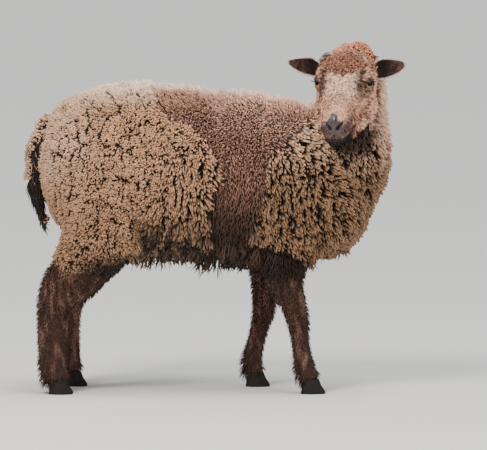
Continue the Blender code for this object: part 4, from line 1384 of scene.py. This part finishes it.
class SHEEP_OT_skin(bpy.types.Operator):
    """Makes the one skin of the body and head, with its folds, markings and painted shade"""

    bl_idname = "sheep.skin"
    bl_label = "Skin"

    def execute(self, context):
        body = body_skin()
        head = eased(sculpt_head(eased(head_skin(), 3)), 1, 0.3)
        known = {*middles_of(head), *middles_of(body)}
        skin = in_order(combined(open_eyes(head), "UNION", body), known)
        skin.name = "skin"
        mesh = skin.data
        points, normals = points_of(mesh), normals_of(mesh)
        mark(mesh, "marks_and_painted_light", coat_colour(points, normals))
        f, l, u = in_head(points).T
        above, stretch = mouth_distance(f, u)
        pad = pad_share(f, l, u)
        lids = smooth_step(0.0105, 0.0085, eye_ring(points))
        bare = np.clip(pad + 0.8 * stretch * bell(above, 0.0028) + lids, 0, 1)
        wool = np.maximum(fleece_wanted(points, normals), saddle_wanted(points, normals))
        for name, value in (("bare", bare), ("wool", np.maximum(wool, curl_wanted(points, normals)))):
            layer = mesh.attributes.new(name, "FLOAT", "POINT")
            layer.data.foreach_set("value", value.astype(np.float32))
        mesh.materials.append(skin_finish())
        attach(skin, "root")
        kinds = ("torso", "neck", "head", "tail", "leg", "ear")
        flesh = [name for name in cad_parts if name.split("_")[0] in kinds]
        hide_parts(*flesh)
        total = read(mesh.polygons, "loop_total", np.int32)
        start = read(mesh.polygons, "loop_start", np.int32)
        vertex = read(mesh.loops, "vertex_index", np.int32)
        last = np.where(total > 3, start + 3, start + 2)
        corners = np.stack([vertex[start], vertex[start + 1], vertex[start + 2], vertex[last]], axis=1)
        centre = points[corners].mean(1)
        normal = unit(normals[corners].mean(1))
        MADE["faces"] = (centre, normal, read(mesh.polygons, "area"), points[corners])
        skin_map(skin)
        return {"FINISHED"}


class SHEEP_OT_eyes(bpy.types.Operator):
    """Makes the two eyes, amber with a level slot for a pupil"""

    bl_idname = "sheep.eyes"
    bl_label = "Eyes"

    def execute(self, context):
        for side, way in SIDES:
            centre, look = eye_place(way)
            bm = bmesh.new()
            ellipsoid(bm, centre, (EYE_RADIUS,) * 3, look, 64)
            eye = new_object(f"eyeball_{side}", bm)
            bulge = centre + look.to_3x3() @ Vector((0, EYE_RADIUS * 0.42, 0))
            bm = bmesh.new()
            ellipsoid(bm, bulge, (EYE_RADIUS * 0.72, EYE_RADIUS * 0.66, EYE_RADIUS * 0.72), look, 64)
            in_order(combined(eye, "UNION", new_object("cornea", bm)))
            eye.data.materials.append(eye_finish(centre, look, side))
            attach(eye, "root")
            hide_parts(f"eye_{side}")
        return {"FINISHED"}


def eye_finish(centre, look, side):
    finish = Finish(f"eye_{side}", Roughness=0.06, Specular_IOR_Level=0.14)
    vector = finish.node(
        "ShaderNodeMapping", {"vector_type": "TEXTURE"}, Vector=finish.place(), Location=tuple(centre),
        Rotation=tuple(look.to_euler()), Scale=(1, 1, 1),
    )
    x, _, z = finish.node("ShaderNodeSeparateXYZ", output=None, Vector=vector)
    radius = (x * x + z * z) ** 0.5
    streaks = finish.noise(520.0, 3.0, vector)
    dull, bright, rim, shadow = (rgba(tints().iris, share) for share in (0.45, 1.25, 0.12, 0.04))
    amber = finish.mix(streaks.ramp(0.3, 0.75), dull, bright)
    amber = finish.mix(radius.ramp(0.0065, 0.0092), amber, rim)
    amber = finish.mix(z.ramp(0.0015, 0.0045), amber, shadow)
    ball = finish.mix(radius.ramp(0.0090, 0.0100), amber, (0.085, 0.050, 0.038, 1.0))
    slot = abs(x / 0.0066) ** 4.0 + abs((z - 0.0012) / 0.0030) ** 4.0
    finish.feed(Base_Color=finish.mix(slot.ramp(1.25, 0.75), ball, (0.004, 0.004, 0.005, 1.0)))
    return finish.material


def horn_finish():
    finish = Finish("horn", Roughness=0.55)
    grain = finish.noise(150.0, 5.0)
    bands = finish.bands(120.0, 2.0)
    dark, light = rgba(tints().horn, 0.20), rgba(tints().horn, 2.2)
    finish.feed(Base_Color=finish.mix(grain.ramp(0.40, 0.62), dark, light), Roughness=0.45 + grain * 0.3)
    finish.bump(grain + bands * 0.3, 0.0010, 0.8)
    return finish.material


class SHEEP_OT_horns(bpy.types.Operator):
    """Makes the two low horn stubs, knobbly and grey"""

    bl_idname = "sheep.horns"
    bl_label = "Horn stubs"

    def execute(self, context):
        material = horn_finish()
        place = head_frame()
        draw = np.random.default_rng(5)
        for side, way in SIDES:
            rows = []
            for f, l, u, wide in smooth_rows(STUBS[way], 5):
                rows.append((*(place @ Vector((f, way * l, u))), wide, wide * 0.8))
            bm = bmesh.new()
            loft(bm, rounded_ends(tube_rings(rows, rounded(2.2)), 3, 0.002), 28)
            for vert in bm.verts:
                vert.co += vert.normal * draw.normal(0, 0.00016)
            horn = new_object(f"horn_stub_{side}", bm)
            horn.data.materials.append(material)
            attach(horn, "root")
            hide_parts(f"horn_{side}")
        return {"FINISHED"}


def hoof_finish():
    finish = Finish("claw", Roughness=0.5, Specular_IOR_Level=0.25)
    grain = finish.noise(180.0, 5.0)
    layers = finish.bands(150.0, 1.5)
    dark, light = rgba(tints().hoof, 0.6), rgba(tints().hoof, 1.7)
    finish.feed(Base_Color=finish.mix(grain.ramp(0.35, 0.75), dark, light), Roughness=0.42 + grain * 0.3)
    finish.bump(layers * 0.5 + grain, 0.0008, 0.7)
    return finish.material


class SHEEP_OT_claws(bpy.types.Operator):
    """Makes the eight claws, a pair to each foot"""

    bl_idname = "sheep.claws"
    bl_label = "Claws"

    def execute(self, context):
        material = hoof_finish()
        for name in sorted(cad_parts):
            if not name.startswith("claw_"):
                continue
            low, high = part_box(name)
            centre = (low + high) / 2
            half = (high - low) / 2
            outward = (1 if "left" in name else -1) * (1 if name.endswith("outer") else -1)
            rings = []
            for share in (0.0, 0.04, 0.12, 0.3, 0.5, 0.7, 0.88, 0.97, 1.0):
                height = low.z + (high.z + 0.003 - low.z) * share
                slope = 1 - 0.40 * share
                edge = 1 - 0.06 * (share == 0.0) - 0.25 * (share == 1.0) - 0.08 * (share == 0.97)
                x = centre.x - half.x * 0.22 * share + 0.0008 * math.sin(share * 9)
                fore = Vector((half.x * slope * edge, 0, 0))
                across = Vector((0, half.y * (1.0 - 0.10 * share) * edge, 0))
                rings.append((Vector((x, centre.y, height)), fore, across, toe(outward)))
            bm = bmesh.new()
            loft(bm, rings, 40)
            claw = new_object("hoof" + name[4:], bm)
            claw.data.materials.append(material)
            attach(claw, "root")
            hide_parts(name)
        return {"FINISHED"}


def toe(outward):
    """Pointed towards the toe, flatter on the side that faces the other claw."""

    def outline(a, b):
        narrow = 1 - 0.50 * max(a, 0) ** 1.6 - 0.12 * max(-a, 0) ** 3
        b = b * narrow
        return a, b * (0.86 if b * outward < 0 else 1.0)

    return outline


def fleece_wanted(points, normals):
    """The old fleece of rump, shoulders and neck, down to where the short hair of the legs begins."""
    f, l, u, skull, ear = head_parts(points)
    x, y, z = points.T
    low = z < leg_top(x, 0.236 + 0.026 * smooth_step(-0.215, -0.17, x), 0.240)
    tail = (np.abs(y - MIDLINE_Y) < 0.030) & tail_dark(points)
    under = (normals[:, 2] < -0.6) & (z < 0.28) & (x < 0.15)
    bare = (face_share(f, u, skull) > 0.5) | (cap_share(f, l, u, skull) > 0.5) | (ear > 0.1)
    return old_fleece(points) * ~(bare | low | tail | under)


def saddle_wanted(points, normals):
    skull, ear = head_parts(points)[3:]
    x, _, z = points.T
    on_leg = np.where(x < LEGS_APART_X, smooth_step(0.245, 0.240, z), smooth_step(0.250, 0.205, z))
    return (1 - old_fleece(points)) * (1 - on_leg) * ~((skull > 0.1) | (ear > 0.1))


def body_lie(points, normals):
    """The way the wool lies: down and a little back on the flanks, back along the top, down the neck."""
    x = points[:, 0]
    lie = np.zeros_like(points)
    lie[:, 0] = np.where(x < 0.05, -0.20, 0.05 + 0.65 * smooth_step(0.13, 0.24, x))
    lie[:, 2] = -1.0
    top = smooth_step(0.6, 0.9, normals[:, 2])[:, None]
    lie = lie * (1 - top) + np.array([-1.0, 0.0, -0.1]) * top
    swirl = scatter_noise(points, 0.11, 31)
    side = np.cross(normals, lie)
    return unit(lie) + side * (0.45 * swirl)[:, None]


def fingered(points):
    """How finger-like the locks of the old fleece are: 0 on the rump, 1 on shoulders and low flanks."""
    x, _, z = points.T
    low = smooth_step(0.44, 0.34, z) * smooth_step(-0.20, -0.08, x)
    low = np.maximum(low, smooth_step(0.50, 0.44, z) * smooth_step(-0.13, -0.08, x))
    return np.maximum(smooth_step(0.03, 0.09, x), np.maximum(0.9 * low, 0.5 * smooth_step(0.34, 0.28, z)))


def nubs_wanted(points, normals):
    return fleece_wanted(points, normals) * (1 - fingered(points))


def fingers_wanted(points, normals):
    return fleece_wanted(points, normals) * fingered(points)


def flap_edge(points):
    """How near each place of the rump's fleece is to its front edge."""
    inside = -ahead_of(points, RUMP_EDGE)
    near = smooth_step(0.022, 0.004, inside) * smooth_step(-0.02, 0.0, inside)
    return near * bell(points[:, 2] - 0.415, 0.085)


def fleece_kind(name, count, wanted, form, finish, seed):
    """One kind of lock of the old fleece, parted by creases and by the cracks between large groups of locks.

    form holds the creases' size and flatness, how flat the roots' spread is, the clumps' size and pull, and
    the locks' width and the share of their length that their last ring is at.
    """
    draw = np.random.default_rng(seed)
    scale, squash = form["crease"]

    def keep(points):
        return 0.15 + 0.85 * smooth_step(0.03, 0.26, creases(points, scale, squash, CREASE_SEED)[0])

    roots, normals, room = even_roots(count, wanted, draw, form["squash"], keep)
    count = len(roots)
    x, _, z = roots.T
    finger = fingered(roots)
    apart, away = creases(roots, scale, squash, CREASE_SEED)
    faded = 0.55 + 0.45 * smooth_step(-0.5, 0.2, scatter_noise(roots, 0.026, 12))
    crease = bell(apart, 0.24 + 0.06 * finger) * faded
    middle, clump, _ = gathered(roots, room, form["clump"], seed + 1, squash)
    to_group, group, border = gathered(roots, room, GROUP_SIZE, seed + 2, GROUP_SQUASH)
    crack = bell(border, 0.0042) * smooth_step(-0.8, 0.0, scatter_noise(roots, 0.07, 9))
    steep = np.abs(unit(to_group * np.array((1.0, 1.0, GROUP_SQUASH)))[:, 2])
    crack = crack * (1 - 0.9 * smooth_step(0.70, 0.90, steep))
    edge = flap_edge(roots)
    vary = 1 + 0.10 * draw.normal(size=count) + 0.30 * (clump - 0.5) - 0.25 * crease - 0.25 * crack
    trouser = smooth_step(0.31, 0.25, z) * smooth_step(-0.13, -0.18, x)
    ridge = smooth_step(0.45, 0.90, normals[:, 2]) * smooth_step(-0.02, -0.12, x)
    grown = 0.55 + 0.42 * finger + 0.40 * edge + 0.28 * ridge
    long = sizes().lock_length * grown * np.clip(vary, 0.4, 1.6) * (1 - 0.45 * trouser)
    wide = sizes().lock_width * np.clip(1 + 0.16 * draw.normal(size=count), 0.6, 1.5) * form["wide"]
    wide = wide * (1 - 0.25 * smooth_step(0.52, 0.58, z) * smooth_step(0.0, -0.05, x))
    pull = middle * form["pull"] + away * (0.0026 * crease)[:, None]
    pull = pull + unit(to_group) * (0.0036 * crack)[:, None]
    # Locks in creases and cracks are darker: painted shade between the locks.
    lit = np.clip(1 - 0.85 * crease - 1.0 * crack, 0, 1) * (0.65 + 0.35 * draw.random(count))
    neck = smooth_step(0.47, 0.53, z) * (x > 0.15)
    lies = body_lie(roots, normals)
    lies = lies + np.cross(normals, lies) * (0.9 * (7.13 * clump % 1 - 0.5))[:, None]
    lies = lies + np.array((0.9, 0.0, 0.1)) * edge[:, None]
    lean = (0.10 + 0.30 * finger, 0.65 + 0.55 * finger + 0.5 * (clump - 0.5) - 0.3 * edge)
    # dark gives longer roots of painted shade in creases and cracks, and less of it on the upper neck.
    tufts(
        name, seed + 3, finish, roots, normals, lies, (long, wide, wide), lean, (0.0016, 0.8),
        depth=0.002, vary=(0.14, 0.14), rings=3, last=form["last"], profile=nub_profile, pull=pull,
        dark=(1.0 + 0.5 * finger + 1.5 * crease + 1.6 * crack) * (1 - 0.5 * neck), light=lit,
        clump=clump * 0.55 + group * 0.45,
    )


class SHEEP_OT_fleece(bpy.types.Operator):
    """Makes the old fleece: nubs on the rump, and fingers on the shoulders, neck and low flanks"""

    bl_idname = "sheep.fleece"
    bl_label = "Old fleece"

    def execute(self, context):
        finish = coat_finish("old_fleece", (0.25, 0.85), grizzle=0.70)
        nubs = {
            "crease": (0.0165, 0.48), "squash": 0.75, "clump": 0.0090, "pull": 0.15,
            "wide": 0.96, "last": 0.86,
        }
        fleece_kind("fleece_nubs", sizes().nub_count, nubs_wanted, nubs, finish, 21)
        fingers = {
            "crease": (0.0140, 0.34), "squash": 0.55, "clump": 0.0065, "pull": 0.35,
            "wide": 0.72, "last": 0.90,
        }
        fleece_kind("fleece_fingers", sizes().finger_count, fingers_wanted, fingers, finish, 26)
        return {"FINISHED"}


class SHEEP_OT_saddle(bpy.types.Operator):
    """Makes the short new wool of the flanks and back, with its longer fuzz along the spine, made pale there
    by painted highlight
    """

    bl_idname = "sheep.saddle"
    bl_label = "Saddle"

    def execute(self, context):
        draw, roots, normals, middle, clump = sown(sizes().saddle_count, saddle_wanted, 41, 0.0060, 6)
        count = len(roots)
        low = smooth_step(0.45, 0.32, roots[:, 2])
        on_leg = smooth_step(0.26, 0.23, roots[:, 2])
        vary = np.clip(1 + 0.2 * draw.normal(size=count), 0.5, 1.6)
        ridge = smooth_step(0.6, 0.95, normals[:, 2]) * smooth_step(0.06, -0.06, roots[:, 0])
        long = sizes().saddle_length * vary * (1 + 0.35 * low + 0.45 * ridge) * (1 - 0.4 * on_leg)
        wide = WIDTHS["saddle"] * np.clip(1 + 0.2 * draw.normal(size=count), 0.6, 1.5)
        finish = coat_finish("new_wool", (0.0, 0.70), grizzle=0.50, patchy=0.50)
        tufts(
            "saddle_wool", 42, finish, roots, normals, body_lie(roots, normals),
            (long, wide, wide * 0.8), (0.35 + 0.2 * low, 1.05 + 0.30 * low), (0.0016 - 0.0006 * low, 1.0),
            depth=0.002, vary=(0.28, 0.28), pull=middle * 0.40, clump=clump,
        )
        return {"FINISHED"}


def leg_wanted(points, normals):
    skull = head_parts(points)[3]
    x, _, z = points.T
    return (z < leg_top(x, 0.242, 0.245)) & (skull < 0.1) & (z > 0.019)


class SHEEP_OT_leg_hair(bpy.types.Operator):
    """Makes the short dark hair of the legs, longest at the top and shortest over the claws"""

    bl_idname = "sheep.leg_hair"
    bl_label = "Leg hair"

    def execute(self, context):
        draw, roots, normals, middle, clump = sown(sizes().leg_count, leg_wanted, 51, 0.0090, 53)
        count = len(roots)
        z = roots[:, 2]
        back = smooth_step(-0.1, -0.7, normals[:, 0]) * smooth_step(0.085, 0.045, z)
        cuff = smooth_step(0.048, 0.030, z)
        lies = np.array((-0.18, 0.0, -1.0)) + draw.normal(0, 0.10, (count, 3))
        grown = 0.60 + 0.40 * smooth_step(0.03, 0.24, z) + 0.7 * back + 0.6 * cuff
        grown = grown * (1 - 0.4 * smooth_step(0.2, 0.7, normals[:, 0]) * smooth_step(0.16, 0.20, z))
        long = sizes().hair_length * grown * draw.uniform(0.75, 1.3, count)
        wide = WIDTHS["leg"] * draw.uniform(0.8, 1.3, count)
        finish = coat_finish("leg_hair", (-0.1, 0.9), 0.7, 0.03, 0.9, 1.0)
        tufts(
            "leg_hair", 52, finish, roots, normals, lies, (long, wide, wide * 0.6),
            (0.80 - 0.25 * back, 1.32 - 0.25 * back), (0.0006, 0.4), depth=0.0006, vary=(0.16, 0.16),
            pull=middle * 0.5, clump=clump,
        )
        return {"FINISHED"}


def face_wanted(points, normals):
    f, l, u, skull, ear = head_parts(points)
    above, stretch = mouth_distance(f, u)
    mouth = stretch * (np.abs(above) < 0.0035)
    lids = eye_ring(points) < 0.0105
    bare = (pad_share(f, l, u) > 0.05) | (mouth > 0.5) | lids
    bare = bare | (ear > 0.1) | (cap_share(f, l, u, skull) > 0.6)
    return (face_share(f, u, skull) > 0.4) * (1.0 - 0.25 * smooth_step(0.09, 0.12, f)) * ~bare


def face_lie(points):
    """Hair lies down the bridge of the nose and its sides, and back and down on the cheeks."""
    f, l, u = in_head(points).T
    way = np.sign(l)
    side = smooth_step(0.024, 0.040, np.abs(l)) * smooth_step(0.10, 0.06, f)
    ahead = 1.0 - 1.5 * side
    out = way * (0.25 + 0.25 * smooth_step(0.01, 0.03, np.abs(l)))
    down = -0.15 - 0.75 * side
    return all_from_head(np.stack([ahead, out, down], axis=1))


class SHEEP_OT_face_hair(bpy.types.Operator):
    """Makes the short grizzled hair of the face, longer on the cheeks and jaw"""

    bl_idname = "sheep.face_hair"
    bl_label = "Face hair"

    def execute(self, context):
        draw, roots, normals, middle, clump = sown(sizes().face_count, face_wanted, 61, 0.0034, 63)
        count = len(roots)
        f, l, u = in_head(roots).T
        cheek = smooth_step(0.02, 0.05, np.abs(l)) * smooth_step(0.05, -0.03, f)
        jaw = smooth_step(-0.030, -0.060, u) * smooth_step(0.10, 0.05, f)
        muzzle = smooth_step(0.07, 0.11, f)
        near = smooth_step(0.022, 0.011, eye_ring(roots))
        long = sizes().face_length * (1 + 0.9 * cheek + 0.9 * jaw - 0.35 * muzzle) * (1 - 0.45 * near)
        long = long * draw.uniform(0.75, 1.3, count)
        wide = WIDTHS["face"] * draw.uniform(0.8, 1.3, count) * (1 + 0.25 * cheek)
        black = clump < 0.34
        finish = coat_finish("face_hair", (-0.2, 0.6), 0.75, 0.0, 1.5, 0.5, 3.0)
        tufts(
            "face_hair", 62, finish, roots, normals, face_lie(roots), (long, wide, wide * 0.6),
            (0.70, 1.25), (0.0003, 0.4), depth=0.0005, vary=(0.16, 0.20), pull=middle * 0.35,
            dark=1.0 + 1.5 * black, light=1.0 - black, clump=7.13 * clump % 1,
        )
        return {"FINISHED"}


class SHEEP_OT_lashes(bpy.types.Operator):
    """Makes the dark lashes of the upper lids"""

    bl_idname = "sheep.lashes"
    bl_label = "Lashes"

    def execute(self, context):
        draw = np.random.default_rng(65)
        roots, normals, lies = [], [], []
        for way in (-1, 1):
            centre, look = eye_place(way)
            turn = look.to_3x3()
            for share in draw.uniform(-0.85, 0.85, 45):
                along = share * EYE_OPENING[0] * 0.9
                rise = EYE_OPENING[1] * math.sqrt(1 - (share * 0.9) ** 2) + draw.uniform(0.0, 0.0012)
                out = math.sqrt((EYE_RADIUS + EYE_LID * 0.9) ** 2 - along**2 - rise**2)
                roots.append(centre + turn @ Vector((along, out, rise)))
                normals.append(turn @ Vector((share * 0.6, 1.0, 0.1)))
                lies.append(turn @ Vector((share * 0.8, 0.0, 1.0)))
        count = len(roots)
        long = LASH_LENGTH * draw.uniform(0.7, 1.2, count)
        wide = np.full(count, WIDTHS["lash"])
        finish = coat_finish("lashes", (-1.0, 0.0), 0.5, 0.0, 0.1, 0.1)
        tufts(
            "lashes", 66, finish, np.array(roots), np.array(normals), np.array(lies),
            (long, wide, wide), (-0.1, 0.9), (0.0, 0.0), depth=0.0006, vary=(0.12, 0.15), rings=3, last=0.75,
            colours=np.tile(np.array(tints().lip), (count, 1)),
        )
        return {"FINISHED"}


def curl_wanted(points, normals):
    f, l, u, skull, ear = head_parts(points)
    rear = skull * smooth_step(-0.040, -0.052, f) * smooth_step(-0.035, -0.020, u)
    horns = np.full(len(points), 1.0)
    for way in (-1, 1):
        for stub in STUBS[way]:
            gone = np.stack([f - stub[0], l - way * stub[1], u - stub[2]], axis=1)
            horns = np.minimum(horns, np.linalg.norm(gone, axis=1))
    return np.maximum(cap_share(f, l, u, skull), rear) * (ear < 0.1) * (horns > 0.0065)


class SHEEP_OT_topknot(bpy.types.Operator):
    """Makes the tight reddish curls of the poll, the forehead and round the horn stubs"""

    bl_idname = "sheep.topknot"
    bl_label = "Topknot"

    def execute(self, context):
        draw, roots, normals, middle, clump = sown(sizes().curl_count, curl_wanted, 71, 0.0055, 72)
        count = len(roots)
        f, l, u = in_head(roots).T
        forehead = smooth_step(-0.04, 0.015, f)
        side = smooth_step(0.004, -0.016, l)
        long = sizes().curl_length * (1 - 0.45 * forehead) * (1 - 0.30 * side) * (0.75 + 0.4 * clump)
        long = long * draw.uniform(0.85, 1.2, count)
        wide = WIDTHS["curl"] * draw.uniform(0.8, 1.2, count)
        ahead = np.array((0.8, 0.0, -0.3)) + draw.normal(0, 0.45, (count, 3))
        ahead[:, 1] += np.sign(l) * 0.5
        finish = coat_finish("topknot", (0.30, 0.95), grizzle=0.90, patchy=0.65)
        tufts(
            "topknot", 73, finish, roots, normals, all_from_head(ahead), (long, wide, wide * 0.85),
            (0.25, 1.15), (0.0019, 1.1), depth=0.0015, vary=(0.25, 0.30), rings=4, last=0.93,
            profile=wool_profile, pull=middle * 0.5, clump=clump,
        )
        return {"FINISHED"}


def ear_wanted(points, normals):
    ear = head_parts(points)[4]
    face_on = normals @ np.array(from_head((1, 0, 0)))
    return (ear > 0.3) * (1.0 - 0.6 * smooth_step(0.2, 0.5, face_on))


class SHEEP_OT_ear_hair(bpy.types.Operator):
    """Makes the short hair of the ears, with the pale fringe of their edges"""

    bl_idname = "sheep.ear_hair"
    bl_label = "Ear hair"

    def execute(self, context):
        draw = np.random.default_rng(81)
        roots, normals, _ = roots_on(sizes().ear_count, ear_wanted, draw)
        count = len(roots)
        f, l, u = in_head(roots).T
        lies = np.stack([np.zeros(count), np.sign(l), 0.25 * np.sign(u - EAR_ROOT[2])], axis=1)
        long = EAR_HAIR_LENGTH * draw.uniform(0.7, 1.3, count)
        wide = WIDTHS["ear"] * draw.uniform(0.8, 1.3, count)
        finish = coat_finish("ear_hair", (-0.6, 0.5), 0.7, 0.05, 1.0, 0.7)
        tufts(
            "ear_hair", 82, finish, roots, normals, all_from_head(lies), (long, wide, wide * 0.6),
            (0.85, 1.35), (0.0003, 0.4), depth=0.0004, vary=(0.12, 0.12), clump=draw.random(count),
        )
        return {"FINISHED"}


def belly_wanted(points, normals):
    x, _, z = points.T
    under = smooth_step(-0.15, -0.5, normals[:, 2]) * (z < 0.30) * (z > 0.24)
    return under * (x > -0.20) * (x < 0.25)


class SHEEP_OT_belly(bpy.types.Operator):
    """Makes the dark shaggy locks that hang under the belly, darker still by painted shade"""

    bl_idname = "sheep.belly"
    bl_label = "Belly locks"

    def execute(self, context):
        draw, roots, normals, middle, clump = sown(sizes().belly_count, belly_wanted, 91, 0.018, 92)
        count = len(roots)
        wisp = (clump > 0.86) * draw.uniform(0.6, 1.0, count)
        long = sizes().belly_length * (0.45 + 0.5 * clump + 0.5 * wisp) * draw.uniform(0.8, 1.15, count)
        long = long * (0.35 + 0.65 * smooth_step(-0.19, -0.12, roots[:, 0]))
        wide = WIDTHS["belly"] * draw.uniform(0.7, 1.2, count) * (1 - 0.5 * wisp)
        lies = np.array((-0.15, 0.0, -1.0)) + draw.normal(0, 0.12, (count, 3))
        finish = coat_finish("belly_wool", (0.0, 1.0), grizzle=0.9)
        tufts(
            "belly_locks", 93, finish, roots, normals, lies, (long, wide, wide * 0.8),
            (0.3, 0.7), (0.0025, 0.9), depth=0.002, vary=(0.2, 0.2), rings=4, last=0.85,
            profile=lock_profile, pull=middle * 0.7, clump=clump,
        )
        return {"FINISHED"}


def tail_wanted(points, normals):
    return tail_dark(points) & (np.abs(points[:, 1] - MIDLINE_Y) < 0.034) & (points[:, 2] > 0.29)


class SHEEP_OT_tail(bpy.types.Operator):
    """Makes the dark hanging hair of the tail"""

    bl_idname = "sheep.tail"
    bl_label = "Tail hair"

    def execute(self, context):
        draw, roots, normals, middle, clump = sown(sizes().tail_count, tail_wanted, 101, 0.009, 102)
        count = len(roots)
        long = sizes().tail_length * draw.uniform(0.6, 1.2, count)
        wide = WIDTHS["tail"] * draw.uniform(0.8, 1.2, count)
        lies = np.array((0.14, 0.0, -1.0)) + draw.normal(0, 0.08, (count, 3))
        low = smooth_step(0.42, 0.36, roots[:, 2])
        finish = coat_finish("tail_hair", (0.0, 0.9), 0.75, 0.05)
        tufts(
            "tail_hair", 103, finish, roots, normals, lies, (long, wide, wide * 0.7),
            (0.95 + 0.3 * low, 1.50 + 0.35 * low), (0.0010, 0.6), depth=0.001, vary=(0.12, 0.12), rings=4,
            last=0.8, pull=middle * 0.5, clump=clump,
        )
        return {"FINISHED"}


def aimed(name, data, place, way):
    """A light or a camera at a place, looking along way."""
    thing = bpy.data.objects.new(name, data)
    thing.location = place
    thing.rotation_euler = Vector(way).to_track_quat("-Z", "Y").to_euler()
    bpy.context.scene.collection.objects.link(thing)
    return thing


class SHEEP_OT_stage(bpy.types.Operator):
    """Sets the pale floor, the soft studio light and the camera"""

    bl_idname = "sheep.stage"
    bl_label = "Stage"

    def execute(self, context):
        bm = bmesh.new()
        bmesh.ops.create_grid(bm, x_segments=1, y_segments=1, size=90)
        floor = new_object("floor", bm)
        plain = Finish("floor", Roughness=0.9, Base_Color=(0.80, 0.79, 0.77, 1))
        floor.data.materials.append(plain.material)
        world = bpy.data.worlds.new("studio")
        context.scene.world = world
        world.use_nodes = True
        back = world.node_tree.nodes["Background"]
        back.inputs["Color"].default_value = (0.92, 0.93, 0.95, 1)
        back.inputs["Strength"].default_value = STUDIO_LIGHT
        sun = bpy.data.lights.new("sun", "SUN")
        sun.energy = SUN_LIGHT
        sun.angle = math.radians(38)
        aimed("sun", sun, (0, 0, 0), (-0.22, 0.10, -1.0))
        for name, place, wide, power, tint in LAMPS:
            lamp = bpy.data.lights.new(name, "AREA")
            lamp.size = wide
            lamp.energy = power
            lamp.color = tint
            aimed(name, lamp, place, LAMPS_AIM - Vector(place))
        centre_x = (PICTURE[0] / 2 - PICTURE_ZERO[0]) * PIXEL
        centre_up = (PICTURE_ZERO[1] - PICTURE[1] / 2) * PIXEL
        aim = Vector((centre_x, 0, centre_up / math.cos(VIEW_RISE)))
        way = Vector((0, math.cos(VIEW_RISE), -math.sin(VIEW_RISE)))
        camera = bpy.data.cameras.new("camera")
        camera.sensor_width = SENSOR
        camera.lens = SENSOR * CAMERA_AWAY / (PICTURE[0] * PIXEL)
        camera.clip_end = 400
        context.scene.camera = aimed("camera", camera, aim - way * CAMERA_AWAY, way)
        return {"FINISHED"}


class SHEEP_PT_panel(bpy.types.Panel):
    """A button for each piece, then the colours and sizes"""

    bl_idname = "SHEEP_PT_panel"
    bl_label = "Soay sheep"
    bl_space_type = "VIEW_3D"
    bl_region_type = "UI"
    bl_category = "Sheep"

    def draw(self, context):
        for operator in OPERATORS:
            self.layout.operator(operator.bl_idname)
        for group in (context.scene.sheep_colours, context.scene.sheep_sizes):
            for key in group.__annotations__:
                self.layout.prop(group, key)


OPERATORS = (
    SHEEP_OT_skin,
    SHEEP_OT_eyes,
    SHEEP_OT_horns,
    SHEEP_OT_claws,
    SHEEP_OT_fleece,
    SHEEP_OT_saddle,
    SHEEP_OT_belly,
    SHEEP_OT_leg_hair,
    SHEEP_OT_tail,
    SHEEP_OT_face_hair,
    SHEEP_OT_lashes,
    SHEEP_OT_topknot,
    SHEEP_OT_ear_hair,
    SHEEP_OT_stage,
)
CLASSES = (SheepColours, SheepSizes, *OPERATORS, SHEEP_PT_panel)


def register():
    for kind in CLASSES:
        bpy.utils.register_class(kind)
    bpy.types.Scene.sheep_colours = bpy.props.PointerProperty(type=SheepColours)
    bpy.types.Scene.sheep_sizes = bpy.props.PointerProperty(type=SheepSizes)


def unregister():
    del bpy.types.Scene.sheep_colours
    del bpy.types.Scene.sheep_sizes
    for kind in reversed(CLASSES):
        bpy.utils.unregister_class(kind)


def main():
    register()
    bpy.ops.sheep.skin()
    bpy.ops.sheep.eyes()
    bpy.ops.sheep.horns()
    bpy.ops.sheep.claws()
    bpy.ops.sheep.fleece()
    bpy.ops.sheep.saddle()
    bpy.ops.sheep.belly()
    bpy.ops.sheep.leg_hair()
    bpy.ops.sheep.tail()
    bpy.ops.sheep.face_hair()
    bpy.ops.sheep.lashes()
    bpy.ops.sheep.topknot()
    bpy.ops.sheep.ear_hair()
    bpy.ops.sheep.stage()


if __name__ == "__main__":
    main()
